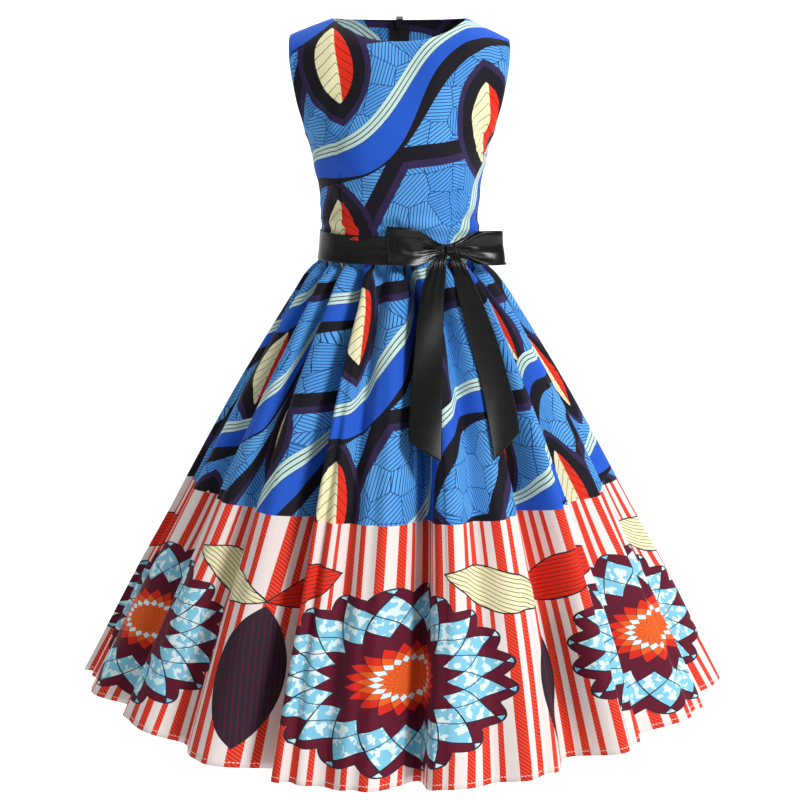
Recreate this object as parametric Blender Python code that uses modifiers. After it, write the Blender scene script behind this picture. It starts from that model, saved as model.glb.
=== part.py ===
"""A sleeveless swing sundress, filled out as it is worn, with a ribbon sash tied in a bow.

The origin lies midway between the two neck points of the shoulder seams, where the wearer's shoulders
carry the dress. +Z is up, the front faces -Y, and left and right are as seen from the front, with -X left.
Sizes are in metres and angles in degrees. Angles round the body start at the front centre and grow
towards +X.
"""

import functools
import math

import bmesh
import bpy
import numpy as np
from mathutils import Matrix, Vector

# Cloth, ribbon and the gap that every seam keeps
CLOTH = 0.0015
RIBBON = 0.0010
SEAM_GAP = 0.0003
HALF_GAP = SEAM_GAP / 2

# Bodice: heights are below the neck points, half widths are from the centre
WAIST_HEIGHT = -0.337
NECK_HALF = 0.0957
SHOULDER_HALF = 0.1573
SHOULDER_DROP_LEFT = 0.0225
SHOULDER_DROP_RIGHT = 0.0300
FRONT_NECK_DROP = 0.0323
BACK_NECK_DROP = 0.0020
NECKLINE_ROUNDNESS = 2.4
NECK_ROOT = 0.035
ROWS_UP = (
    0.0, 0.04, 0.09, 0.15, 0.22, 0.30, 0.38, 0.46, 0.54, 0.62,
    0.70, 0.78, 0.85, 0.90, 0.94, 0.97, 0.99, 0.999, 1.0,
)
SEAM_STRIP = 0.012

# The seams part a little under the arm, where the armholes turn away from them
UNDERARM_HEIGHT = -0.1720
UNDERARM_EASE = 0.0005
UNDERARM_REACH = 0.030

# Each row: height, half width at the side seam or armhole edge, half width of the body behind it
TORSO_WIDTHS = (
    (-0.3370, 0.1165, 0.1165),
    (-0.3150, 0.1143, 0.1143),
    (-0.2855, 0.1134, 0.1134),
    (-0.2634, 0.1144, 0.1144),
    (-0.2341, 0.1178, 0.1178),
    (-0.2049, 0.1240, 0.1240),
    (-0.1758, 0.1311, 0.1311),
    (-0.1640, 0.1341, 0.1341),
    (-0.1560, 0.1362, 0.1406),
    (-0.1468, 0.1387, 0.1468),
    (-0.1178, 0.1466, 0.1640),
    (-0.0889, 0.1521, 0.1800),
    (-0.0602, 0.1562, 0.2070),
    (-0.0344, 0.1573, 0.2600),
    (0.0400, 0.1573, 0.3200),
)

# Each row: distance below the shoulder ridge, depth of the front, depth of the back
TORSO_DEPTHS = (
    (0.000, 0.000, 0.000),
    (0.010, 0.034, 0.034),
    (0.032, 0.060, 0.058),
    (0.070, 0.083, 0.080),
    (0.120, 0.106, 0.093),
    (0.160, 0.1165, 0.097),
    (0.190, 0.1205, 0.098),
    (0.220, 0.1180, 0.097),
    (0.250, 0.1105, 0.094),
    (0.285, 0.103, 0.091),
    (0.337, 0.098, 0.091),
    (0.380, 0.098, 0.091),
)
BUST_RISE = 0.009
BUST_APART = 0.076
BUST_SPREAD = 0.038
BUST_HEIGHT = -0.192
BUST_TALL = 0.055

# Skirt: each row is height and half width of the outermost folds
SKIRT_PROFILE = (
    (-0.3373, 0.1165),
    (-0.3450, 0.1180),
    (-0.3530, 0.1275),
    (-0.3650, 0.1395),
    (-0.3950, 0.1600),
    (-0.4560, 0.1978),
    (-0.5163, 0.2342),
    (-0.6073, 0.2848),
    (-0.6684, 0.3172),
    (-0.7299, 0.3492),
    (-0.7918, 0.3828),
    (-0.8541, 0.4145),
    (-0.9168, 0.4452),
    (-0.9780, 0.4755),
)
WAIST_FRONT = 0.098
WAIST_BACK = 0.091
ROWS_DOWN = (0.0, 0.0105, 0.018, 0.032, 0.055, 0.10, 0.19, 0.32, 0.48, 0.64, 0.80, 0.92, 1.0)

# Each row is one fold valley: angle at the waist, angle at the hem, depth at the waist, depth at the hem
VALLEYS = (
    (-80.0, -79.0, 0.006, 0.034),
    (-62.0, -61.0, 0.005, 0.030),
    (-47.0, -42.0, 0.006, 0.038),
    (-30.0, -26.5, 0.007, 0.054),
    (-15.0, -13.0, 0.005, 0.015),
    (6.0, -1.0, 0.007, 0.060),
    (24.0, 15.0, 0.005, 0.014),
    (42.0, 31.0, 0.007, 0.056),
    (60.0, 50.0, 0.005, 0.036),
    (77.0, 72.0, 0.006, 0.032),
    (96.0, 101.0, 0.005, 0.034),
    (112.0, 116.0, 0.006, 0.044),
    (128.0, 131.0, 0.005, 0.030),
    (144.0, 146.0, 0.006, 0.050),
    (162.0, 163.0, 0.004, 0.028),
    (198.0, 195.0, 0.004, 0.030),
    (216.0, 213.0, 0.006, 0.048),
    (232.0, 231.0, 0.005, 0.032),
    (248.0, 250.0, 0.006, 0.046),
    (264.0, 265.0, 0.005, 0.030),
)
VALLEY_SHARPNESS = 1.7
VALLEY_GROWTH = 0.75
GATHER_LENGTH = 0.035
VALLEY_SAG = 0.22
COLUMNS_PER_FOLD = 8
SEAM_PROBE = 0.02

# The skirt leans a little to one side, and its hem rises towards the sides
SKIRT_LEAN = 0.0035
LEAN_SHARE = 0.10
SIDE_LIFT = 0.020

# Folds at which the skirt's panels are seamed
SIDE_SEAM_LEFT = -0.5
SIDE_SEAM_RIGHT = 10.0
CENTRE_BACK = 14.5

# Sash: a satin ribbon round the waist
BELT_TOP = -0.3025
BELT_BOTTOM = -0.3435
BELT_LIFT = 0.0009
BELT_COLUMNS = 96
BELT_PINCH = 0.62
PINCH_ANGLE = 18.0
RIBBON_LIFT = BELT_LIFT + RIBBON + 2 * SEAM_GAP

# Bow: the knot sits on the belt, and the loops and tails start beside it
KNOT_ANGLE = 34.5
KNOT_HEIGHT = -0.3215
KNOT_SIZE = (0.0145, 0.0120, 0.0135)
KNOT_ROUNDING = 0.0038
KNOT_LIFT = RIBBON_LIFT + KNOT_SIZE[1] / 2
GATHERED_WIDTH = 0.013
SPREAD_RATE = 1.7
INNER_BULGE = 0.2
BELT_RADIUS = 0.108
LAYERS_APART = 0.0016

# Each row: name, side of the knot, length, depth, width at the far end, rise and flare of the far end
LOOPS = (
    ("bow_loop_left", -1, 0.0745, 0.024, 0.052, 0.0077, 0.000),
    ("bow_loop_right", 1, 0.0680, 0.020, 0.047, 0.0000, 0.026),
)

# Each row of a tail: height, x of its middle, width
TAIL_LIFT = 0.0023
TAIL_LEFT = (
    (-0.3290, 0.0610, 0.0110),
    (-0.3400, 0.0555, 0.0190),
    (-0.3560, 0.0520, 0.0260),
    (-0.3750, 0.0466, 0.0320),
    (-0.4136, 0.0426, 0.0370),
    (-0.4555, 0.0399, 0.0400),
    (-0.5000, 0.0374, 0.0425),
    (-0.5600, 0.0347, 0.0438),
    (-0.6200, 0.0325, 0.0440),
)
TAIL_RIGHT = (
    (-0.3290, 0.0755, 0.0120),
    (-0.3472, 0.0840, 0.0184),
    (-0.3596, 0.0888, 0.0225),
    (-0.3777, 0.0945, 0.0285),
    (-0.4028, 0.1031, 0.0335),
    (-0.4605, 0.1215, 0.0395),
    (-0.5307, 0.1393, 0.0390),
    (-0.5800, 0.1475, 0.0360),
    (-0.6200, 0.1520, 0.0350),
)
TAILS = (
    ("bow_tail_left", TAIL_LEFT, -0.5795, -0.60),
    ("bow_tail_right", TAIL_RIGHT, -0.5785, 0.82),
)
SLANT_RATE = 2.5
RIBBON_COLUMNS = (-1.0, -0.6, -0.2, 0.2, 0.6, 1.0)
TAIL_ROWS = (1.0, 0.9, 0.78, 0.65, 0.52, 0.40, 0.30, 0.22, 0.15, 0.10, 0.06, 0.03, 0.0)

# Zip at the centre back, from the neck edge to the hip
ZIP_END = 0.19
TAPE_INSIDE_EDGE = 0.0006
TAPE_WIDTH = 0.0100
TAPE_THICKNESS = 0.0010
TAPE_DEPTH = CLOTH + 0.0006
SLIDER_HALF_WIDTH = 0.0050
SLIDER_PLATE = 0.0016
SLIDER_TOP = -0.0040
SLIDER_INNER_LENGTH = 0.0120
SLIDER_OUTER_LENGTH = 0.0090
SLIDER_CLEARANCE = 0.0007
SLIDER_BRIDGE = 0.0032
CROWN_HALF_WIDTH = 0.0008
CROWN_HALF_LENGTH = 0.0030
CROWN_BAR = 0.0014
CROWN_HEIGHT = 0.0038
CROWN_CENTRE = 0.0038
CROWN_CORNER = 0.0006
CROWN_OVERLAP = 0.0004
TAB_THICKNESS = 0.0012
TAB_BAR = 0.0012
TAB_HOLE_LENGTH = 0.0048
TAB_HOLE_HALF_WIDTH = 0.0018
TAB_HALF_WIDTH = 0.0036
TAB_LENGTH = 0.0230

COLOURS = {
    "print_blue": (0.10, 0.33, 0.75, 1.0),
    "print_skirt": (0.35, 0.25, 0.55, 1.0),
    "satin_black": (0.015, 0.015, 0.018, 1.0),
    "zip_black": (0.02, 0.018, 0.03, 1.0),
}


def smooth_table(rows, column, place):
    """The value of a table's column at a place in its first column, on a smooth curve through its rows."""
    places = np.array([row[0] for row in rows], float)
    values = np.array([row[column] for row in rows], float)
    place = float(np.clip(place, places[0], places[-1]))
    steps = np.diff(places)
    slopes = np.diff(values) / steps
    tangents = np.empty(len(places))
    tangents[0], tangents[-1] = slopes[0], slopes[-1]
    for i in range(1, len(places) - 1):
        before, after = slopes[i - 1], slopes[i]
        tangents[i] = 0.0 if before * after <= 0 else 2 * before * after / (before + after)
    i = min(int(np.searchsorted(places, place, side="right")) - 1, len(steps) - 1)
    s = (place - places[i]) / steps[i]
    start, end = values[i], values[i + 1]
    return (
        start * (1 + 2 * s) * (1 - s) ** 2
        + end * s * s * (3 - 2 * s)
        + tangents[i] * steps[i] * s * (1 - s) ** 2
        - tangents[i + 1] * steps[i] * s * s * (1 - s)
    )


def mixed(start, end, share):
    """The value at a share of the way from start to end."""
    return start + (end - start) * share


def eased(share):
    """A share from 0 to 1 that starts and ends gently."""
    share = min(max(share, 0.0), 1.0)
    return share * share * (3 - 2 * share)


def bell(distance):
    """A soft bump: 1 at no distance, and nothing a few steps away."""
    return math.exp(-distance * distance)


def top_edge(side, x):
    """Height of the neckline or the shoulder seam at x, on the front (-1) or the back (1)."""
    if abs(x) < NECK_HALF:
        drop = FRONT_NECK_DROP if side < 0 else BACK_NECK_DROP
        return -drop * (1 - (abs(x) / NECK_HALF) ** NECKLINE_ROUNDNESS)
    drop = SHOULDER_DROP_LEFT if x < 0 else SHOULDER_DROP_RIGHT
    return -drop * (abs(x) - NECK_HALF) / (SHOULDER_HALF - NECK_HALF)


def torso_depth(side, x, height):
    """How far the cloth stands from the plane of the side seams, at x and a height."""
    ridge = top_edge(side, x)
    if abs(x) < NECK_HALF:
        ridge = 0.0 if side < 0 else NECK_ROOT * math.sqrt(1 - (x / NECK_HALF) ** 2)
    below = max(ridge - height, 0.0)
    spread = [(math.sqrt(row[0]), row[1], row[2]) for row in TORSO_DEPTHS]
    depth = smooth_table(spread, 1 if side < 0 else 2, math.sqrt(below))
    if side < 0:
        across = (abs(x) - BUST_APART) / BUST_SPREAD
        up = (height - BUST_HEIGHT) / BUST_TALL
        depth += BUST_RISE * bell(across) * bell(up)
    body = smooth_table(TORSO_WIDTHS, 2, height)
    return depth * math.sqrt(max(1 - (x / body) ** 2, 0.0))


def bodice_point(side, across, up):
    """A point of a bodice panel's outside: across runs from -1 to 1 between its edges, up from 0 to 1."""
    spread = math.sin(across * math.pi / 2)
    top = 0.0
    for _ in range(12):
        top = top_edge(side, spread * smooth_table(TORSO_WIDTHS, 1, top))
    foot = WAIST_HEIGHT + SEAM_GAP
    height = mixed(foot, top, up)
    x = spread * smooth_table(TORSO_WIDTHS, 1, height)
    apart = HALF_GAP + UNDERARM_EASE * bell((height - UNDERARM_HEIGHT) / UNDERARM_REACH)
    return Vector((x, side * (torso_depth(side, x, height) + apart), height))


def skirt_slants():
    """The distance down the skirt's slope to each row of its profile, as a share of its whole length."""
    lengths = [0.0]
    for (z0, r0), (z1, r1) in zip(SKIRT_PROFILE, SKIRT_PROFILE[1:]):
        lengths.append(lengths[-1] + math.hypot(z1 - z0, r1 - r0))
    return [length / lengths[-1] for length in lengths]


SLANTS = skirt_slants()
PROFILE_BY_SHARE = [(s, z, r) for s, (z, r) in zip(SLANTS, SKIRT_PROFILE)]


def girth(angle, half, front, back):
    """A point on a body section with this half width and these depths, at an angle in degrees."""
    turn = math.radians(angle)
    depth = front if math.cos(turn) > 0 else back
    return half * math.sin(turn), -depth * math.cos(turn)


def skirt_point(fold, down):
    """A point of the skirt's outside. Fold counts the valleys round it, down runs from 0 to 1."""
    count = len(VALLEYS)
    turns = math.floor(fold / count)
    place = fold - turns * count
    low = int(math.floor(place))
    low_row, high_row = VALLEYS[low % count], VALLEYS[(low + 1) % count]
    wrap = 360.0 if low + 1 >= count else 0.0
    low_angle = mixed(low_row[0], low_row[1], down)
    high_angle = mixed(high_row[0], high_row[1], down) + wrap
    angle = mixed(low_angle, high_angle, place - low) + 360.0 * turns
    nearest = VALLEYS[int(round(place)) % count]
    away = place - round(place)
    valley = (0.5 + 0.5 * math.cos(2 * math.pi * away)) ** VALLEY_SHARPNESS
    gathered = nearest[2] * eased(down / GATHER_LENGTH)
    grown = (nearest[3] - nearest[2]) * max(down, 0.0) ** VALLEY_GROWTH
    depth = (gathered + grown) * valley
    half = smooth_table(PROFILE_BY_SHARE, 2, down)
    lift = SIDE_LIFT * (down * math.sin(math.radians(angle))) ** 2
    height = smooth_table(PROFILE_BY_SHARE, 1, down) - VALLEY_SAG * depth + lift
    flat = (1 - down) ** 2
    front = half - (SKIRT_PROFILE[0][1] - WAIST_FRONT) * flat
    back = half - (SKIRT_PROFILE[0][1] - WAIST_BACK) * flat
    x, y = girth(angle, half - depth, front - depth, back - depth)
    return Vector((x + SKIRT_LEAN * eased(down / LEAN_SHARE), y, height))


def waist_section(height):
    """Half width, front depth and back depth of the garment's outside near the waist."""
    if height > WAIST_HEIGHT:
        half = smooth_table(TORSO_WIDTHS, 1, height)
        return half, torso_depth(-1, 0.0, height), torso_depth(1, 0.0, height)
    rows = [(-z, r) for z, r in SKIRT_PROFILE]
    half = smooth_table(rows, 1, -height)
    down = (half - SKIRT_PROFILE[0][1]) / (SKIRT_PROFILE[-1][1] - SKIRT_PROFILE[0][1])
    flat = (1 - down) ** 2
    front = half - (SKIRT_PROFILE[0][1] - WAIST_FRONT) * flat
    back = half - (SKIRT_PROFILE[0][1] - WAIST_BACK) * flat
    return half, front, back


def sheet(name, columns, rows, place, material, thickness=CLOTH, outward=False, loop=False):
    """A cloth piece: a flat grid whose points are laid at place(column share, row share), then thickened."""
    mesh = bpy.data.meshes.new(name)
    cloth = bmesh.new()
    bmesh.ops.create_grid(cloth, x_segments=len(columns) - 1, y_segments=len(rows) - 1, size=1.0)
    last_column, last_row = len(columns) - 1, len(rows) - 1
    for vert in cloth.verts:
        i = int(round((vert.co.x + 1) / 2 * last_column))
        j = int(round((vert.co.y + 1) / 2 * last_row))
        vert.co = place(columns[i], rows[j])
    if loop:
        bmesh.ops.remove_doubles(cloth, verts=cloth.verts, dist=1e-6)
    cloth.to_mesh(mesh)
    cloth.free()
    piece = bpy.data.objects.new(name, mesh)
    wall = piece.modifiers.new("wall", "SOLIDIFY")
    wall.thickness = thickness
    wall.offset = 1.0 if outward else -1.0
    return finished(piece, material)


def finished(piece, material):
    """Links a piece to the dress, shades it smooth and gives it its material."""
    piece.data.materials.append(bpy.data.materials[material])
    piece.data.shade_smooth()
    bpy.data.collections["sundress"].objects.link(piece)
    return piece


def edge_spaced(start, end, count):
    """Places from start to end, with a narrow strip at each end that keeps a wall square to its seam."""
    margin = (end - start) * SEAM_STRIP
    return [start, *np.linspace(start + margin, end - margin, count), end]


def bodice():
    """The front, cut in one piece, and the two halves of the back, which meet at the zip."""

    def front(across, up):
        return bodice_point(-1, across, up)

    # the back is seen from behind, so its columns run towards -X
    def back_left(across, up):
        point = bodice_point(1, -across, up)
        return point - Vector((HALF_GAP if across == 0 else 0.0, 0.0, 0.0))

    def back_right(across, up):
        point = bodice_point(1, -across, up)
        return point + Vector((HALF_GAP if across == 0 else 0.0, 0.0, 0.0))

    sheet("bodice_front", edge_spaced(-1.0, 1.0, 21), ROWS_UP, front, "print_blue")
    sheet("bodice_back_right", edge_spaced(-1.0, 0.0, 13), ROWS_UP, back_right, "print_blue")
    sheet("bodice_back_left", edge_spaced(0.0, 1.0, 13), ROWS_UP, back_left, "print_blue")


def skirt():
    """The gathered front panel and the two back panels, seamed at the sides and at the centre back."""
    panels = (
        ("skirt_front", SIDE_SEAM_LEFT, SIDE_SEAM_RIGHT),
        ("skirt_back_right", SIDE_SEAM_RIGHT, CENTRE_BACK),
        ("skirt_back_left", CENTRE_BACK, SIDE_SEAM_LEFT + len(VALLEYS)),
    )
    rows = [1.0 - down for down in reversed(ROWS_DOWN)]
    for name, start, end in panels:
        columns = np.linspace(start, end, int(round((end - start) * COLUMNS_PER_FOLD)) + 1)

        def place(fold, up, start=start, end=end):
            point = skirt_point(fold, 1.0 - up)
            if abs(fold - start) > 1e-9 and abs(fold - end) > 1e-9:
                return point
            inward = SEAM_PROBE if abs(fold - start) < 1e-9 else -SEAM_PROBE
            along = skirt_point(fold + inward, 1.0 - up) - point
            return point + along.normalized() * HALF_GAP

        sheet(name, columns, rows, place, "print_skirt")


def around(angle, height, lift):
    """A point a little out from the garment at an angle and height near the waist."""
    half, front, back = waist_section(height)
    x, y = girth(angle, half + lift, front + lift, back + lift)
    return Vector((x, y, height))


def belt():
    """The ribbon of the sash where it lies round the waist."""

    middle, half_width = (BELT_TOP + BELT_BOTTOM) / 2, (BELT_TOP - BELT_BOTTOM) / 2

    def place(turn, up):
        pinched = half_width * (1 - BELT_PINCH * bell((turn - KNOT_ANGLE) / PINCH_ANGLE))
        return around(turn, middle + pinched * (2 * up - 1), BELT_LIFT)

    columns = np.linspace(-180.0, 180.0, BELT_COLUMNS + 1)
    rows = np.linspace(0.0, 1.0, 5)
    sheet("sash_belt", columns, rows, place, "satin_black", RIBBON, outward=True, loop=True)


def knot():
    """The knot of the bow: a small rounded wrap of ribbon."""
    half, front, back = waist_section(KNOT_HEIGHT)
    turn = math.radians(KNOT_ANGLE)
    out = Vector((math.sin(turn) / half, -math.cos(turn) / front, 0.0)).normalized()
    up = Vector((0.0, 0.0, 1.0))
    centre = around(KNOT_ANGLE, KNOT_HEIGHT, KNOT_LIFT)
    mesh = bpy.data.meshes.new("bow_knot")
    shape = bmesh.new()
    bmesh.ops.create_cube(shape, size=1.0)
    for vert in shape.verts:
        vert.co = Vector(a * b for a, b in zip(vert.co, KNOT_SIZE))
    bmesh.ops.bevel(
        shape, geom=shape.edges[:], offset=KNOT_ROUNDING, offset_type="OFFSET", segments=3,
        profile=0.5, affect="EDGES", material=-1,
    )
    turned = Matrix((up.cross(out), -out, up)).transposed().to_4x4()
    bmesh.ops.transform(shape, matrix=Matrix.Translation(centre) @ turned, verts=shape.verts)
    shape.to_mesh(mesh)
    shape.free()
    finished(bpy.data.objects.new("bow_knot", mesh), "satin_black")


def loop_point(row, path, across):
    """A point of a loop: path runs from the knot out and back to it, across from edge to edge."""
    name, side, length, depth, far_width, rise, flare = row
    turned = 2 * math.pi * path
    reach = (1 - math.cos(turned)) / 2
    bulge = -math.sin(turned) * reach * depth * (INNER_BULGE if path < 0.5 else 1.0)
    apart = -math.cos(turned / 2) * LAYERS_APART
    width = mixed(GATHERED_WIDTH, far_width, eased(reach * SPREAD_RATE))
    height = KNOT_HEIGHT + rise * reach - side * across * width / 2
    travel = KNOT_SIZE[0] / 2 + length * reach
    angle = KNOT_ANGLE + side * math.degrees(travel / BELT_RADIUS)
    lift = KNOT_LIFT + apart + bulge + flare * reach**1.5
    point = around(angle, min(height, KNOT_HEIGHT), lift)
    return Vector((point.x, point.y, height))


def bow_loops():
    """The two loops: each is a ribbon that leaves the knot, turns round and comes back to it."""
    for row in LOOPS:
        place = functools.partial(loop_point, row)
        sheet(row[0], np.linspace(0.0, 1.0, 29), RIBBON_COLUMNS, place, "satin_black", RIBBON)


def tail_point(table, end_height, slant, across, down):
    """A point of a tail: across runs from edge to edge, down from the knot to the slanting end."""
    upwards = sorted(table)
    level = mixed(upwards[-1][0], end_height, down)
    offset = across * smooth_table(upwards, 2, level) / 2
    height = level + slant * offset * eased(SLANT_RATE * (down - 1) + 1)
    x = smooth_table(upwards, 1, level) + offset
    half, front, back = waist_section(height)
    share = x / (half + TAIL_LIFT)
    return Vector((x, -(front + TAIL_LIFT) * math.sqrt(1 - share * share), height))


def bow_tails():
    """The two tails: ribbons that hang from the knot over the front of the skirt, cut on the slant."""
    for name, table, end_height, slant in TAILS:
        place = functools.partial(tail_point, table, end_height, slant)
        sheet(name, RIBBON_COLUMNS, TAIL_ROWS, place, "satin_black", RIBBON, outward=True)


def inside_of(place, first, second, depth, step=1e-3):
    """The point a depth inside a surface, where place(first, second) lies on its outside."""
    point = place(first, second)
    one = place(first + step, second) - place(first - step, second)
    other = place(first, second + step) - place(first, second - step)
    normal = one.cross(other).normalized()
    if normal.y < 0:
        normal = -normal
    return point - normal * depth


def back_panel_point(across, up):
    """A point of the back panels' outside, by their own shares."""
    return bodice_point(1, across, up)


def back_surface(x, height):
    """A point on the outside of the bodice back."""
    return Vector((x, torso_depth(1, x, height) + HALF_GAP, height))


def zip_tapes():
    """The two woven tapes of the zip, sewn inside the centre back seam, from the neck to the hip."""
    # the tapes bend where the panels over them bend, so their rows are the panels' own rows
    rows = [("bodice", up) for up in reversed(ROWS_UP[:-2])]
    rows += [("skirt", down) for down in ROWS_DOWN if down <= ZIP_END]
    half = smooth_table(TORSO_WIDTHS, 1, WAIST_HEIGHT)
    for name, side in (("zip_tape_left", -1), ("zip_tape_right", 1)):

        def place(across, row, side=side):
            x = side * mixed(TAPE_INSIDE_EDGE, TAPE_INSIDE_EDGE + TAPE_WIDTH, across)
            panel, share = row
            if panel == "bodice":
                return inside_of(back_panel_point, x / half / (math.pi / 2), share, TAPE_DEPTH)
            fold_width = (skirt_point(CENTRE_BACK + 0.1, share) - skirt_point(CENTRE_BACK, share)).length * 10
            return inside_of(skirt_point, CENTRE_BACK - x / fold_width, share, TAPE_DEPTH)

        columns = (0.0, 0.33, 0.67, 1.0) if side < 0 else (1.0, 0.67, 0.33, 0.0)
        sheet(name, columns, rows, place, "zip_black", TAPE_THICKNESS, outward=True)


def slider_frame():
    """The middle of the back neck edge, with the directions out of the cloth and down along it."""
    top = back_surface(0.0, -BACK_NECK_DROP)
    lower = back_surface(0.0, -BACK_NECK_DROP - SLIDER_INNER_LENGTH)
    down = (lower - top).normalized()
    out = Vector((0.0, -down.z, down.y))
    return top, out, down


def block(name, outline, half_width, material):
    """A solid with an outline in the zip's own plane, out and down from the neck edge."""
    top, out, down = slider_frame()
    mesh = bpy.data.meshes.new(name)
    shape = bmesh.new()
    corners = [shape.verts.new(top + out * n + down * d - Vector((half_width, 0, 0))) for n, d in outline]
    face = shape.faces.new(corners)
    grown = bmesh.ops.extrude_face_region(shape, geom=[face])
    moved = [item for item in grown["geom"] if isinstance(item, bmesh.types.BMVert)]
    bmesh.ops.translate(shape, verts=moved, vec=(2 * half_width, 0, 0))
    bmesh.ops.recalc_face_normals(shape, faces=shape.faces)
    shape.to_mesh(mesh)
    shape.free()
    return finished(bpy.data.objects.new(name, mesh), material)


def joined(piece, other):
    """Joins another solid to a piece, and removes it."""
    union = piece.modifiers.new("joined", "BOOLEAN")
    union.operation = "UNION"
    union.solver = "EXACT"
    union.object = other
    depsgraph = bpy.context.evaluated_depsgraph_get()
    mesh = bpy.data.meshes.new_from_object(piece.evaluated_get(depsgraph))
    piece.modifiers.clear()
    piece.data = mesh
    bpy.data.objects.remove(other)
    return piece


def slider():
    """The zip's slider: two wings that straddle the neck edge, and the crown that holds the pull tab."""
    outer = SLIDER_CLEARANCE
    inner = -(TAPE_DEPTH + TAPE_THICKNESS + SLIDER_CLEARANCE)
    bridge = SLIDER_TOP + SLIDER_BRIDGE
    body = block(
        "zip_slider",
        (
            (inner - SLIDER_PLATE, SLIDER_TOP),
            (outer + SLIDER_PLATE, SLIDER_TOP),
            (outer + SLIDER_PLATE, SLIDER_OUTER_LENGTH),
            (outer, SLIDER_OUTER_LENGTH),
            (outer, bridge),
            (inner, bridge),
            (inner, SLIDER_INNER_LENGTH),
            (inner - SLIDER_PLATE, SLIDER_INNER_LENGTH),
        ),
        SLIDER_HALF_WIDTH,
        "zip_black",
    )
    foot = outer + SLIDER_PLATE - CROWN_OVERLAP
    low, high = CROWN_CENTRE - CROWN_HALF_LENGTH, CROWN_CENTRE + CROWN_HALF_LENGTH
    rise = outer + SLIDER_PLATE + CROWN_HEIGHT
    crown = block(
        "zip_crown",
        (
            (foot, low),
            (rise - CROWN_CORNER, low),
            (rise, low + CROWN_CORNER),
            (rise, high - CROWN_CORNER),
            (rise - CROWN_CORNER, high),
            (foot, high),
            (foot, high - CROWN_BAR),
            (rise - CROWN_BAR, high - CROWN_BAR),
            (rise - CROWN_BAR, low + CROWN_BAR),
            (foot, low + CROWN_BAR),
        ),
        CROWN_HALF_WIDTH,
        "zip_black",
    )
    joined(body, crown)


def tab_axis():
    """The line that the pull tab turns about: the middle of its top bar, under the crown."""
    top, out, down = slider_frame()
    bar_height = SLIDER_CLEARANCE + SLIDER_PLATE + (CROWN_HEIGHT - CROWN_BAR) / 2
    return top + out * bar_height + down * CROWN_CENTRE


def pull_tab():
    """The teardrop pull tab, which hangs from the crown by the bar above its hole."""
    top, out, down = slider_frame()
    axis = tab_axis()
    half = TAB_THICKNESS / 2
    mesh = bpy.data.meshes.new("zip_pull_tab")
    shape = bmesh.new()
    outline = []
    for i in range(13):
        turn = math.pi * i / 12
        drop = TAB_LENGTH - TAB_HALF_WIDTH * 1.15 * (1 - math.sin(turn))
        outline.append((TAB_HALF_WIDTH * math.cos(turn), drop))
    neck = TAB_BAR / 2 + TAB_HOLE_LENGTH
    waist = TAB_HOLE_HALF_WIDTH + TAB_BAR * 0.8
    outline += [(-waist, neck), (-waist, -TAB_BAR / 2), (waist, -TAB_BAR / 2), (waist, neck)]
    face = shape.faces.new([shape.verts.new((x, 0.0, d)) for x, d in outline])
    grown = bmesh.ops.extrude_face_region(shape, geom=[face])
    moved = [item for item in grown["geom"] if isinstance(item, bmesh.types.BMVert)]
    bmesh.ops.translate(shape, verts=moved, vec=(0, TAB_THICKNESS, 0))
    bmesh.ops.translate(shape, verts=shape.verts, vec=(0, -half, 0))
    bmesh.ops.recalc_face_normals(shape, faces=shape.faces)
    shape.to_mesh(mesh)
    shape.free()
    plate = bpy.data.objects.new("zip_pull_tab", mesh)
    finished(plate, "zip_black")

    cutter_mesh = bpy.data.meshes.new("tab_hole")
    hole = bmesh.new()
    bmesh.ops.create_cube(hole, size=1.0)
    sizes = (2 * TAB_HOLE_HALF_WIDTH, TAB_THICKNESS * 4, TAB_HOLE_LENGTH)
    for vert in hole.verts:
        vert.co = Vector(a * b for a, b in zip(vert.co, sizes))
        vert.co.z += TAB_BAR / 2 + TAB_HOLE_LENGTH / 2
    hole.to_mesh(cutter_mesh)
    hole.free()
    cutter = bpy.data.objects.new("tab_hole", cutter_mesh)
    cutter.hide_render = True
    cutter.display_type = "WIRE"
    bpy.data.collections["cutters"].objects.link(cutter)
    cut = plate.modifiers.new("hole", "BOOLEAN")
    cut.operation = "DIFFERENCE"
    cut.solver = "EXACT"
    cut.object = cutter
    turned = Matrix((Vector((-1.0, 0.0, 0.0)), out, down)).transposed().to_4x4()
    for thing in (plate, cutter):
        thing.matrix_world = Matrix.Translation(axis) @ turned


def clear_scene():
    """Removes what the scene holds, and adds the collections and materials of the dress."""
    for item in list(bpy.data.objects):
        bpy.data.objects.remove(item)
    for name in ("sundress", "cutters"):
        bpy.context.scene.collection.children.link(bpy.data.collections.new(name))
    for name, colour in COLOURS.items():
        material = bpy.data.materials.new(name)
        material.use_nodes = True
        shader = material.node_tree.nodes["Principled BSDF"]
        shader.inputs["Base Color"].default_value = colour
        shader.inputs["Roughness"].default_value = 0.35 if name == "satin_black" else 0.75
        shader.inputs["Metallic"].default_value = 0.0


clear_scene()
bodice()
skirt()
belt()
knot()
bow_loops()
bow_tails()
zip_tapes()
slider()
pull_tab()
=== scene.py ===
"""The looks of a sleeveless swing sundress, filled out as it is worn, with a satin sash tied in a bow.

Sizes are metres in the frame's own axes: +Z up, the front faces -Y, left and right as seen from the front.
"""

from __future__ import annotations

import logging
import math
from dataclasses import dataclass, field
from enum import Enum
from typing import Sequence

import bmesh
import bpy
import numpy as np
from mathutils import Matrix, Vector


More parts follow.
